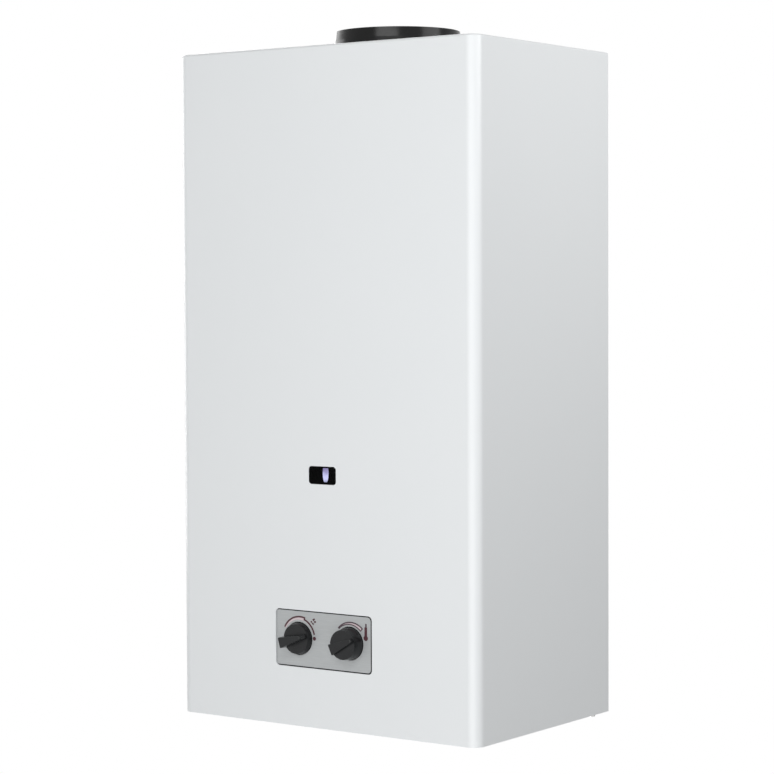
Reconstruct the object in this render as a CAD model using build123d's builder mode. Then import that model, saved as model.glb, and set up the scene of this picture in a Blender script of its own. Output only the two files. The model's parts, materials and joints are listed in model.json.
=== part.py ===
from build123d import *
import os

os.makedirs("parts", exist_ok=True)

# Wall-hung instantaneous gas water heater, in millimetres.
# +Z is up, the front faces -Y and the wall is the plane Y = 0.
# The origin is midway between the two wall hanging holes, on the wall plane.
# Heights below are above the casing's bottom edge, and depths are distances from the wall.

# Casing
casing_width = 320.0
casing_depth = 216.0
casing_height = 592.0
hang_height = 550.0
hang_spacing = 140.0
hang_hole_radius = 4.5
cover_sheet = 1.0
corner_radius = 10.0
top_edge_radius = 2.5
bottom_lip = 14.0
wall_gap = 1.0
cover_clearance = 0.4
tray_sheet = 1.2
tray_flange = 30.0
tray_corner = 2.0
rib_spacing = 236.0
rib_width = 18.0
rib_length = 360.0
rib_height = 290.0
rib_rise = 3.0

# Cover screws
cover_screw_setback = 20.0
cover_screw_inset = 7.5
cover_screw_radius = 2.0
cover_screw_head_radius = 4.0
cover_screw_head = 2.5
cover_nut_radius = 4.0
cover_nut_thickness = 3.2
nut_clearance = 0.3

# Sight window
window_height = 220.9
window_width = 29.4
window_tall = 15.7
window_radius = 3.0
window_rim = 4.5
window_frame_depth = 4.0
pane_thickness = 2.0
pane_setback = 0.2
pane_clearance = 0.2
pane_ledge = 1.5

# Fascia and knobs
cutout_height = 76.9
cutout_width = 104.3
cutout_tall = 50.2
cutout_radius = 4.0
fascia_recess = 1.4
fascia_thickness = 2.0
fascia_side_overlap = 12.0
fascia_rim = 6.0
knob_height = 76.8
knob_spacing = 55.0
knob_radius = 14.2
knob_hole_clearance = 0.5
knob_skirt = 7.0
knob_face_taper = 13.0
knob_wall = 2.2
knob_cap = 2.0
gas_knob_rise = 5.0
temperature_knob_rise = 11.0
temperature_face_taper = 7.0
grip_top = 14.6
grip_length = 24.4
grip_wide = 10.4
grip_narrow = 3.6
grip_corner = 1.2
grip_edge = 0.7
grip_taper = 2.0
gas_pointer_angle = 16.0
temperature_pointer_angle = 24.0
hub_radius = 6.5
spindle_radius = 4.0
spindle_flat = 2.6
spindle_in_knob = 2.8
spindle_fit = 0.08
spindle_reach = 2.0
running_clearance = 0.05

# Fascia bracket
bracket_sheet = 1.5
bracket_half_width = 62.0
bracket_tall = 40.0
bracket_tab = 14.0
fascia_screw_inset = 5.0
fascia_screw_spread = 26.0
fascia_screw_radius = 1.5
fascia_screw_head_radius = 2.9
fascia_screw_length = 8.0

# Valve bodies, joined on the plane X = 0
valve_front = 160.0
valve_back = 92.0
valve_floor = 36.0
valve_roof = 106.0
valve_edge = 5.0
gas_body_width = 59.0
water_body_width = 54.0

# Spindle glands
gland_radius = 11.0
gland_length = 22.0
gland_hex_radius = 13.0
gland_hex = 6.0
seat_clearance = 0.1

# Knob push and safety valve
spring_chamber_radius = 9.0
spring_chamber_length = 22.0
collar_radius = 8.0
collar_thickness = 3.0
push_gap = 0.1
pin_radius = 2.5
seat_wall = 6.0
safety_chamber_radius = 11.0
safety_disc_radius = 8.0
safety_disc_thickness = 2.5
disc_gap = 0.3
stem_radius = 1.8
stem_length = 13.0
stem_clearance = 0.4
magnet_seat = 5.0
magnet_bore = 11.0
magnet_hex = 8.0
magnet_stub_radius = 5.0
magnet_stub = 10.0

# Main gas valve, on the axis of the diaphragm
rod_height = 52.0
rod_depth = 126.0
rod_radius = 2.0
main_chamber_radius = 12.0
main_chamber_length = 41.0
main_seat_radius = 7.0
main_disc_radius = 10.0
main_disc_thickness = 3.0
main_hub_radius = 3.0
main_hub = 6.0
plug_insert = 9.0
plug_hex_radius = 14.0
plug_hex = 7.0

# Springs
knob_spring_wire = 1.0
knob_spring_radius = 5.5
knob_spring_turns = 5
safety_spring_wire = 0.8
safety_spring_radius = 5.5
safety_spring_turns = 4
main_spring_wire = 1.2
main_spring_radius = 7.0
main_spring_turns = 7
spring_gap = 0.2

# Piezo igniter and its cam
piezo_width = 35.0
piezo_tall = 30.0
piezo_depth = 24.0
piezo_wall = 4.0
piezo_cavity_radius = 12.5
piezo_passage_radius = 6.0
barrel_radius = 8.0
barrel_rise = 20.0
barrel_length = 32.0
terminal_radius = 2.5
terminal_length = 6.0
terminal_setback = 14.0
cam_radius = 8.0
cam_lobe = 3.0
cam_thickness = 6.0
cam_inset = 4.0

# Water valve
flange_radius = 33.0
flange_thickness = 10.0
flange_overhang = 8.0
diaphragm_cavity_radius = 25.0
diaphragm_cavity = 7.5
diaphragm_thickness = 2.0
plate_radius = 19.0
plate_thickness = 2.2
plate_gap = 0.3
rod_guide = 12.0
water_chamber_radius = 6.0
cover_flange = 6.0
dome_radius = 24.5
dome_rise = 10.0
dome_wall = 2.5
valve_screw_circle = 29.0
valve_screw_count = 6
valve_screw_radius = 2.2
valve_screw_head_radius = 3.8
valve_screw_head = 4.0
valve_screw_socket = 1.9
valve_screw_grip = 8.0
temperature_chamber_radius = 8.0
temperature_chamber_length = 16.0
regulator_radius = 7.0
regulator_thickness = 4.0
needle_radius = 2.5
needle_length = 6.0
drain_x = 20.0
drain_radius = 4.0
drain_depth = 8.0
drain_hex_radius = 6.0
drain_hex = 6.0

# Connections below the casing: G1/2 male threads
thread_radius = 10.48
thread_drop = 16.0
thread_length = 22.0
thread_relief = 0.5
connection_setback = 50.0
port_height = 50.0
port_radius = 6.0
gas_x = -45.0
cold_x = 40.0
hot_side_room = 45.0
elbow_radius = 9.0
elbow_bend = 18.0
elbow_hex_radius = 13.0
elbow_hex = 6.0
union_hex_radius = 14.0
union_hex = 8.0
union_stub = 8.5
rail_height = 12.0
rail_sheet = 1.5
rail_margin = 22.0
rail_front = 22.0
rail_upstand = 28.0
thread_clearance = 0.3
lock_nut_radius = 15.0
lock_nut = 5.0

# Water and gas pipes
pipe_radius = 7.0
pipe_wall = 1.0
pipe_bend = 18.0
pipe_gap = 0.3
cold_outlet_depth = 110.0
gas_outlet_x = -48.0
pipe_nut_radius = 12.5
pipe_nut = 12.0
cold_foot = 39.0
cold_step = 20.0
hot_foot = 28.0
hot_step = 30.0
riser_step = 24.0

# Combustion chamber
chamber_side_room = 53.0
chamber_front_room = 38.0
chamber_back = 46.0
chamber_floor = 230.0
chamber_sheet = 1.0
chamber_corner = 12.0

# Heat exchanger
tube_rows = 5
tube_margin = 14.0
tube_drop = 35.0
tube_overhang = 6.0
tube_fit = 0.1
fin_count = 33
fin_margin = 11.0
fin_thickness = 0.6
fin_tall = 50.0
fin_gap = 0.3
riser_side_room = 24.0

# Jacket coil, from its start above the chamber's floor to its exit below the tubes
coil_foot = 50.0
coil_lead = 20.0
coil_rise = 11.0
coil_exit = 41.0

# Burner
bar_count = 11
bar_margin = 8.0
bar_thickness = 11.0
bar_drop = 4.0
bar_end_gap = 0.4
frame_setback = 8.0
frame_tall = 24.0
frame_sheet = 1.2
frame_lip = 5.0
intake_drop = 10.0
intake_radius = 5.5
intake_bore = 4.0
intake_reach = 2.0
neck_setback = 12.0
neck_length = 22.0
neck_slope = 10.0
port_slot = 2.0
port_slot_depth = 2.0
port_pitch = 6.0
port_count = 18
port_slot_length = 8.0

# Gas manifold and injectors
manifold_inset = 9.0
manifold_reach = 12.0
manifold_wide = 15.0
manifold_tall = 16.0
manifold_wall = 1.5
manifold_foot = 14.0
manifold_foot_rise = 18.0
manifold_inlet_inset = 12.0
injector_clearance = 0.4
injector_hex = 3.0
injector_tip_radius = 2.5
injector_tip = 1.5
injector_tail_radius = 1.9

# Pilot group
pilot_gap = 0.1
pilot_spread = 8.5
pilot_radius = 3.5
pilot_tail = 12.0
pilot_head_radius = 4.5
pilot_head_rise = 7.0
pilot_bore = 1.6
pilot_step = 33.0
pilot_pipe_radius = 2.0
pilot_tap_x = -12.0
pilot_tap_depth = 140.0
pilot_sheet = 1.2
pilot_plate_width = 44.0
pilot_lip = 14.4
pilot_tab = 12.0
pilot_tab_width = 8.0
couple_radius = 2.0
couple_rise = 13.0
couple_drop = 2.0
lead_radius = 1.2
electrode_radius = 3.0
electrode_rise = 13.0
electrode_flange_radius = 4.0
electrode_wire = 0.8
spark_rise = 6.0
spark_reach = 5.0
ignition_lead_radius = 1.5
lead_jog = 9.5
lead_drop = 5.0
lead_bend = 4.0
lead_lane_drop = 36.0
lead_back = 46.0
lead_loop = 14.0
pilot_fit = 0.15

# Draught hood and flue collar
hood_overhang = 8.0
hood_back_overhang = 18.0
hood_top_room = 20.0
hood_sheet = 1.0
relief_margin = 25.0
relief_tall = 26.0
relief_rise = 37.0
relief_radius = 5.0
baffle_drop = 34.0
baffle_rise = 12.0
baffle_front_gap = 36.0
baffle_back_gap = 32.0
baffle_tab = 10.0
flue_setback = 100.0
flue_radius = 57.0
collar_wall = 0.8
collar_rise = 19.5
collar_step = 2.4
collar_stand = 1.0
collar_taper = 1.0
collar_taper_rise = 8.5
collar_flange = 10.0
collar_flange_sheet = 1.0
notch_clearance = 0.4

# Brackets on the back plate
chamber_bracket_rise = 10.0
chamber_bracket_tall = 45.0
hood_bracket_rise = 25.0
hood_bracket_tall = 40.0
strut_half_width = 60.0
strut_foot = 20.0

# Places worked out from the sizes above
fascia_front = casing_depth - fascia_recess
hot_x = hot_side_room - casing_width / 2
riser_x = casing_width / 2 - riser_side_room
chamber_width = casing_width - 2 * chamber_side_room
fin_pitch = (chamber_width - 2 * fin_margin) / (fin_count - 1)
bar_pitch = (chamber_width - 2 * bar_margin) / bar_count
chamber_front = casing_depth - chamber_front_room
coil_start = chamber_floor + coil_foot
coil_turn_in = coil_start + coil_lead
tube_height = coil_turn_in + 9 * coil_rise + coil_exit
tube_pitch = (chamber_front - chamber_back - 2 * tube_margin) / (tube_rows - 1)
chamber_roof = tube_height + tube_drop
hood_roof = casing_height - hood_top_room
hood_front = chamber_front + hood_overhang
hood_back = chamber_back - hood_back_overhang
relief_height = chamber_roof + relief_rise
baffle_height = hood_roof - baffle_drop
baffle_front = hood_front - baffle_front_gap
baffle_back = hood_back + baffle_back_gap
chamber_bracket_height = chamber_floor + chamber_bracket_rise
hood_bracket_height = chamber_roof + hood_bracket_rise
bar_top = chamber_floor - bar_drop
frame_front = chamber_front - frame_setback
frame_floor = chamber_floor - frame_tall
intake_height = frame_floor - intake_drop
intake_mouth = frame_front + intake_reach
neck_front = frame_front - neck_setback
neck_rear = neck_front - neck_length
manifold_back = frame_front + manifold_reach
manifold_front = manifold_back + manifold_wide
manifold_floor = intake_height - manifold_tall / 2
manifold_roof = intake_height + manifold_tall / 2
injector_hex_radius = bar_pitch / 2 - pilot_radius - injector_clearance
pilot_x = -1.5 * bar_pitch
pilot_depth = intake_mouth + pilot_radius + pilot_gap
pilot_plate_front = pilot_depth + pilot_lip
pilot_foot = manifold_roof - pilot_tail
pilot_top = manifold_roof + pilot_head_rise
couple_tip = manifold_roof + couple_rise
couple_foot = manifold_roof - couple_drop
electrode_top = manifold_roof + electrode_rise
lead_lane_foot = manifold_floor - lead_lane_drop
manifold_length = chamber_width - 2 * manifold_inset
manifold_inlet_x = manifold_inlet_inset - manifold_length / 2
hood_width = chamber_width + 2 * hood_overhang
relief_width = hood_width - 2 * relief_margin
fascia_back = fascia_front - fascia_thickness
knob_x = knob_spacing / 2
gland_back = valve_front - gland_length
gland_front = valve_front + gland_hex
spring_wall = gland_back - spring_chamber_length
safety_seat = spring_wall - seat_wall
spindle_back = gland_back - spindle_reach
safety_disc_front = safety_seat - disc_gap
safety_disc_back = safety_disc_front - safety_disc_thickness
magnet_face = valve_back + magnet_seat
collar_back = spindle_back - push_gap - collar_thickness
main_seat_x = main_chamber_length - gas_body_width
main_disc_x = main_seat_x - disc_gap
plug_face_x = plug_insert - gas_body_width
diaphragm_x = water_body_width + flange_overhang
plate_x = diaphragm_x - plate_gap - plate_thickness
cover_x = diaphragm_x + diaphragm_thickness
bar_floor = frame_floor + frame_sheet
chamber_middle = (chamber_front + chamber_back) / 2
coil_x = chamber_width / 2 + pipe_radius + pipe_gap
coil_front = chamber_front + pipe_radius + pipe_gap
coil_back = chamber_back - pipe_radius - pipe_gap
tube_end_x = chamber_width / 2 + tube_overhang
first_row = chamber_middle + tube_pitch * (tube_rows - 1) / 2
last_row = chamber_middle - tube_pitch * (tube_rows - 1) / 2
neck_radius = flue_radius - collar_step
neck_bore_radius = neck_radius - collar_wall
notch_radius = flue_radius + notch_clearance
tray_half_width = casing_width / 2 - cover_sheet - cover_clearance
tray_floor = cover_sheet + cover_clearance
tray_roof = casing_height - cover_sheet - cover_clearance
cover_screw_x = casing_width / 2 - cover_screw_inset
fascia_screw_x = cutout_width / 2 + fascia_screw_inset
row_depths = [first_row - tube_pitch * row for row in range(tube_rows)]
bar_places = [bar_pitch * (bar - (bar_count - 1) / 2) for bar in range(bar_count)]


def level(height):
    return height - hang_height


# Front cover: front, sides and top in one folded sheet, open at the back and below
with BuildPart() as front_cover:
    with BuildSketch(Plane.XY.offset(level(0))) as cover_plan:
        with Locations((0, -(casing_depth + wall_gap) / 2)):
            Rectangle(casing_width, casing_depth - wall_gap)
        fillet(cover_plan.vertices().group_by(Axis.Y)[0], corner_radius)
    extrude(amount=casing_height)
    cover_top_edges = front_cover.faces().sort_by(Axis.Z)[-1].edges().sort_by(Axis.Y)
    fillet(cover_top_edges[:-1], top_edge_radius)
    cover_open_faces = [
        front_cover.faces().sort_by(Axis.Z)[0],
        front_cover.faces().sort_by(Axis.Y)[-1],
    ]
    offset(amount=-cover_sheet, openings=cover_open_faces)
    # Lip folded in along the bottom of the front and the sides
    with BuildSketch(Plane.XY.offset(level(0))) as lip_plan:
        with Locations((0, -(casing_depth + wall_gap) / 2)):
            Rectangle(casing_width, casing_depth - wall_gap)
        fillet(lip_plan.vertices().group_by(Axis.Y)[0], corner_radius)
        lip_edge = casing_depth - bottom_lip
        with Locations((0, -(lip_edge + wall_gap) / 2)):
            Rectangle(casing_width - 2 * bottom_lip, lip_edge - wall_gap, mode=Mode.SUBTRACT)
        with Locations((-cover_screw_x, -cover_screw_setback), (cover_screw_x, -cover_screw_setback)):
            Circle(cover_screw_radius + seat_clearance, mode=Mode.SUBTRACT)
    extrude(amount=cover_sheet)
    # Sight window and fascia openings
    with BuildSketch(Plane.XZ.offset(casing_depth)):
        with Locations((0, level(window_height))):
            RectangleRounded(window_width, window_tall, window_radius)
        with Locations((0, level(cutout_height))):
            RectangleRounded(cutout_width, cutout_tall, cutout_radius)
    extrude(amount=-cover_sheet, mode=Mode.SUBTRACT)
    # Notch for the flue collar, open to the back so that the cover slides off forwards
    with BuildSketch(Plane.XY.offset(level(casing_height))):
        with Locations((0, -flue_setback)):
            Circle(notch_radius)
        with Locations((0, -flue_setback / 2)):
            Rectangle(2 * notch_radius, flue_setback)
    extrude(amount=-2 * cover_sheet, mode=Mode.SUBTRACT)
front_cover.part.label = "front_cover"
export_step(front_cover.part, "parts/front_cover.step")

# Back plate: a shallow tray with two hanging holes, slotted below for the cover screws
with BuildPart() as back_plate:
    with BuildSketch(Plane.XZ):
        with Locations((0, level((tray_floor + tray_roof) / 2))):
            RectangleRounded(2 * tray_half_width, tray_roof - tray_floor, tray_corner)
    extrude(amount=tray_flange)
    with BuildSketch(Plane.XZ.offset(tray_sheet)):
        with Locations((0, level((tray_floor + tray_roof) / 2))):
            Rectangle(2 * (tray_half_width - tray_sheet), tray_roof - tray_floor - 2 * tray_sheet)
    extrude(amount=tray_flange, mode=Mode.SUBTRACT)
    # Deep top flange, cut round the flue collar
    with BuildSketch(Plane.XY.offset(level(tray_roof))):
        with Locations((0, -flue_setback / 2)):
            Rectangle(2 * (tray_half_width - tray_corner), flue_setback)
        with Locations((0, -flue_setback)):
            Circle(notch_radius, mode=Mode.SUBTRACT)
    extrude(amount=-tray_sheet)
    # Swaged stiffening ribs
    with BuildSketch(Plane.XZ):
        with Locations((0, level(rib_height))):
            with GridLocations(rib_spacing, 0, 2, 1):
                SlotOverall(rib_length, rib_width, rotation=90)
    extrude(amount=tray_sheet + rib_rise)
    with BuildSketch(Plane.XZ):
        with Locations((0, level(rib_height))):
            with GridLocations(rib_spacing, 0, 2, 1):
                SlotOverall(rib_length - 2 * tray_sheet, rib_width - 2 * tray_sheet, rotation=90)
    extrude(amount=rib_rise, mode=Mode.SUBTRACT)
    # Hanging holes
    with BuildSketch(Plane.XZ):
        with GridLocations(hang_spacing, 0, 2, 1):
            Circle(hang_hole_radius)
    extrude(amount=tray_sheet, mode=Mode.SUBTRACT)
    # Slots for the cover screws, open to the front
    with BuildSketch(Plane.XY.offset(level(tray_floor))):
        with Locations((-cover_screw_x, -cover_screw_setback), (cover_screw_x, -cover_screw_setback)):
            Circle(cover_screw_radius + cover_clearance)
        slot_middle = -(cover_screw_setback + tray_flange) / 2
        with Locations((-cover_screw_x, slot_middle), (cover_screw_x, slot_middle)):
            Rectangle(2 * (cover_screw_radius + cover_clearance), tray_flange - cover_screw_setback)
    extrude(amount=tray_sheet, mode=Mode.SUBTRACT)
back_plate.part.label = "back_plate"
export_step(back_plate.part, "parts/back_plate.step")

# Cover screws, driven up through the cover's lip
with BuildPart() as cover_screws:
    with BuildSketch(Plane.XY.offset(level(0))):
        with Locations((-cover_screw_x, -cover_screw_setback), (cover_screw_x, -cover_screw_setback)):
            Circle(cover_screw_head_radius)
    extrude(amount=-cover_screw_head)
    cover_screw_reach = tray_floor + tray_sheet + nut_clearance + cover_nut_thickness + cover_screw_radius
    with BuildSketch(Plane.XY.offset(level(0))):
        with Locations((-cover_screw_x, -cover_screw_setback), (cover_screw_x, -cover_screw_setback)):
            Circle(cover_screw_radius)
    extrude(amount=cover_screw_reach)
    # Driver slots
    with BuildSketch(Plane.XY.offset(level(-cover_screw_head))):
        with Locations((-cover_screw_x, -cover_screw_setback), (cover_screw_x, -cover_screw_setback)):
            Rectangle(2 * cover_screw_head_radius, cover_screw_radius / 2)
    extrude(amount=cover_screw_head / 2, mode=Mode.SUBTRACT)
cover_screws.part.label = "cover_screws"
export_step(cover_screws.part, "parts/cover_screws.step")

# Nuts on the cover screws, over the back plate's flange
with BuildPart() as cover_nuts:
    with BuildSketch(Plane.XY.offset(level(tray_floor + tray_sheet + nut_clearance))):
        with Locations((-cover_screw_x, -cover_screw_setback), (cover_screw_x, -cover_screw_setback)):
            RegularPolygon(cover_nut_radius, 6)
            Circle(cover_screw_radius + running_clearance, mode=Mode.SUBTRACT)
    extrude(amount=cover_nut_thickness)
cover_nuts.part.label = "cover_nuts"
export_step(cover_nuts.part, "parts/cover_nuts.step")

# Sight window frame, held behind the front sheet, with a pocket for the pane
with BuildPart() as window_frame:
    with BuildSketch(Plane.XZ.offset(casing_depth - cover_sheet)):
        with Locations((0, level(window_height))):
            RectangleRounded(window_width + 2 * window_rim, window_tall + 2 * window_rim, window_radius)
            RectangleRounded(window_width, window_tall, window_radius, mode=Mode.SUBTRACT)
    extrude(amount=-window_frame_depth)
    ledge_depth = casing_depth - pane_setback - pane_thickness
    ledge_thickness = window_frame_depth - pane_setback - pane_thickness + cover_sheet
    with BuildSketch(Plane.XZ.offset(ledge_depth)):
        with Locations((0, level(window_height))):
            RectangleRounded(window_width, window_tall, window_radius)
            Rectangle(window_width - 2 * pane_ledge, window_tall - 2 * pane_ledge, mode=Mode.SUBTRACT)
    extrude(amount=-ledge_thickness)
window_frame.part.label = "window_frame"
export_step(window_frame.part, "parts/window_frame.step")

# Heat-proof window pane, almost flush with the front sheet
with BuildPart() as window_pane:
    with BuildSketch(Plane.XZ.offset(casing_depth - pane_setback)):
        with Locations((0, level(window_height))):
            RectangleRounded(
                window_width - 2 * pane_clearance,
                window_tall - 2 * pane_clearance,
                window_radius - pane_clearance,
            )
    extrude(amount=-pane_thickness)
window_pane.part.label = "window_pane"
export_step(window_pane.part, "parts/window_pane.step")

# Fascia plate behind the front opening, with a clearance hole for each knob
with BuildPart() as fascia_plate:
    with BuildSketch(Plane.XZ.offset(fascia_front)):
        with Locations((0, level(cutout_height))):
            RectangleRounded(
                cutout_width + 2 * fascia_side_overlap, cutout_tall + 2 * fascia_rim, cutout_radius
            )
        with Locations((-knob_x, level(knob_height)), (knob_x, level(knob_height))):
            Circle(knob_radius + knob_hole_clearance, mode=Mode.SUBTRACT)
    extrude(amount=-fascia_thickness)
    with Locations(Plane.XZ.offset(fascia_front)):
        with Locations((0, level(knob_height))):
            with GridLocations(2 * fascia_screw_x, fascia_screw_spread, 2, 2):
                CounterSinkHole(
                    fascia_screw_radius + seat_clearance,
                    fascia_screw_head_radius + seat_clearance,
                    depth=fascia_thickness,
                )
fascia_plate.part.label = "fascia_plate"
export_step(fascia_plate.part, "parts/fascia_plate.step")

# Fascia bracket: a folded channel from the valve bodies to the fascia
with BuildPart() as fascia_bracket:
    with BuildSketch(Plane.XZ.offset(valve_front)):
        with Locations((0, level(knob_height))):
            Rectangle(2 * bracket_half_width, bracket_tall)
    extrude(amount=fascia_back - valve_front)
    with BuildSketch(Plane.XZ.offset(valve_front + bracket_sheet)):
        with Locations((0, level(knob_height))):
            Rectangle(2 * (bracket_half_width - bracket_sheet), bracket_tall)
    extrude(amount=fascia_back - valve_front, mode=Mode.SUBTRACT)
    with BuildSketch(Plane.XZ.offset(fascia_back)):
        tab_x = bracket_half_width - bracket_tab / 2
        with Locations((-tab_x, level(knob_height)), (tab_x, level(knob_height))):
            Rectangle(bracket_tab, bracket_tall)
    extrude(amount=-bracket_sheet)
    # Holes for the glands and for the fascia screws
    with BuildSketch(Plane.XZ.offset(valve_front)):
        with Locations((-knob_x, level(knob_height)), (knob_x, level(knob_height))):
            Circle(gland_hex_radius + seat_clearance)
    extrude(amount=bracket_sheet, mode=Mode.SUBTRACT)
    with BuildSketch(Plane.XZ.offset(fascia_back)):
        with Locations((0, level(knob_height))):
            with GridLocations(2 * fascia_screw_x, fascia_screw_spread, 2, 2):
                Circle(fascia_screw_radius + seat_clearance)
    extrude(amount=-bracket_sheet, mode=Mode.SUBTRACT)
fascia_bracket.part.label = "fascia_bracket"
export_step(fascia_bracket.part, "parts/fascia_bracket.step")

# Countersunk fascia screws
with BuildPart() as fascia_screws:
    with Locations(Plane.XZ.offset(fascia_front)):
        with Locations((0, level(knob_height))):
            with GridLocations(2 * fascia_screw_x, fascia_screw_spread, 2, 2):
                Cylinder(
                    fascia_screw_radius,
                    fascia_screw_length,
                    align=(Align.CENTER, Align.CENTER, Align.MAX),
                )
                Cone(
                    fascia_screw_radius,
                    fascia_screw_head_radius,
                    fascia_screw_head_radius - fascia_screw_radius,
                    align=(Align.CENTER, Align.CENTER, Align.MAX),
                )
fascia_screws.part.label = "fascia_screws"
export_step(fascia_screws.part, "parts/fascia_screws.step")


def knob_plane(x, depth, angle):
    x_dir = Vector(1, 0, 0).rotate(Axis.Y, -angle)
    return Plane(origin=(x, -depth, level(knob_height)), x_dir=x_dir, z_dir=(0, -1, 0))


# Knob: round skirt through the fascia, low or tall face, and a wedge grip that is its pointer
def build_knob(x, rise, taper, angle):
    with BuildPart() as knob:
        with BuildSketch(knob_plane(x, fascia_front - knob_skirt, angle)):
            Circle(knob_radius)
        extrude(amount=knob_skirt)
        with BuildSketch(knob_plane(x, fascia_front, angle)):
            Circle(knob_radius)
        extrude(amount=rise, taper=taper)
        with BuildSketch(knob_plane(x, fascia_front + rise, angle)) as grip:
            with BuildLine():
                Polyline(
                    (-grip_length / 2, -grip_wide / 2),
                    (grip_length / 2, -grip_narrow / 2),
                    (grip_length / 2, grip_narrow / 2),
                    (-grip_length / 2, grip_wide / 2),
                    close=True,
                )
            make_face()
            fillet(grip.vertices(), grip_corner)
        extrude(amount=grip_top - rise, taper=grip_taper)
        fillet(knob.faces().sort_by(Axis.Y)[0].edges(), grip_edge)
        # Hollow behind, round a hub
        with BuildSketch(knob_plane(x, fascia_front - knob_skirt, angle)):
            Circle(knob_radius - knob_wall)
            Circle(hub_radius, mode=Mode.SUBTRACT)
        extrude(amount=knob_skirt + rise - knob_cap, mode=Mode.SUBTRACT)
        # D-shaped bore for the spindle
        with BuildSketch(knob_plane(x, fascia_front - knob_skirt, angle)):
            Circle(spindle_radius + spindle_fit)
            with Locations((0, spindle_flat + spindle_fit + spindle_radius)):
                Rectangle(3 * spindle_radius, 2 * spindle_radius, mode=Mode.SUBTRACT)
        extrude(amount=knob_skirt + spindle_in_knob + spindle_fit, mode=Mode.SUBTRACT)
    return knob


gas_knob = build_knob(-knob_x, gas_knob_rise, knob_face_taper, gas_pointer_angle)
gas_knob.part.label = "gas_knob"
export_step(gas_knob.part, "parts/gas_knob.step")

temperature_knob = build_knob(
    knob_x, temperature_knob_rise, temperature_face_taper, temperature_pointer_angle
)
temperature_knob.part.label = "temperature_knob"
export_step(temperature_knob.part, "parts/temperature_knob.step")


# Round spindle from the valve to the knob, with a flat where the knob holds it
def build_spindle(x, angle):
    with BuildPart() as spindle:
        with BuildSketch(knob_plane(x, spindle_back, angle)):
            Circle(spindle_radius)
        extrude(amount=fascia_front + spindle_in_knob - spindle_back)
        with BuildSketch(knob_plane(x, fascia_front - knob_skirt, angle)):
            with Locations((0, spindle_flat + spindle_radius)):
                Rectangle(3 * spindle_radius, 2 * spindle_radius)
        extrude(amount=knob_skirt + spindle_in_knob, mode=Mode.SUBTRACT)
    return spindle


gas_spindle = build_spindle(-knob_x, gas_pointer_angle)
gas_spindle.part.label = "gas_spindle"
export_step(gas_spindle.part, "parts/gas_spindle.step")

# Temperature spindle: the same shaft with a retaining disc and a needle that throttles the water
temperature_shaft = build_spindle(knob_x, temperature_pointer_angle)
with BuildPart() as temperature_spindle:
    add(temperature_shaft.part)
    with BuildSketch(knob_plane(knob_x, spindle_back, temperature_pointer_angle)):
        Circle(regulator_radius)
    extrude(amount=-regulator_thickness)
    with BuildSketch(knob_plane(knob_x, spindle_back - regulator_thickness, temperature_pointer_angle)):
        Circle(needle_radius)
    extrude(amount=-needle_length, taper=knob_face_taper)
temperature_spindle.part.label = "temperature_spindle"
export_step(temperature_spindle.part, "parts/temperature_spindle.step")

# Brass glands that close the valve bodies round the spindles
with BuildPart() as spindle_glands:
    with BuildSketch(Plane.XZ.offset(gland_back)):
        with Locations((-knob_x, level(knob_height)), (knob_x, level(knob_height))):
            Circle(gland_radius)
            Circle(spindle_radius + running_clearance, mode=Mode.SUBTRACT)
    extrude(amount=gland_length)
    with BuildSketch(Plane.XZ.offset(valve_front)):
        with Locations((-knob_x, level(knob_height)), (knob_x, level(knob_height))):
            RegularPolygon(gland_hex_radius, 6)
            Circle(spindle_radius + running_clearance, mode=Mode.SUBTRACT)
    extrude(amount=gland_hex)
spindle_glands.part.label = "spindle_glands"
export_step(spindle_glands.part, "parts/spindle_glands.step")

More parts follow.
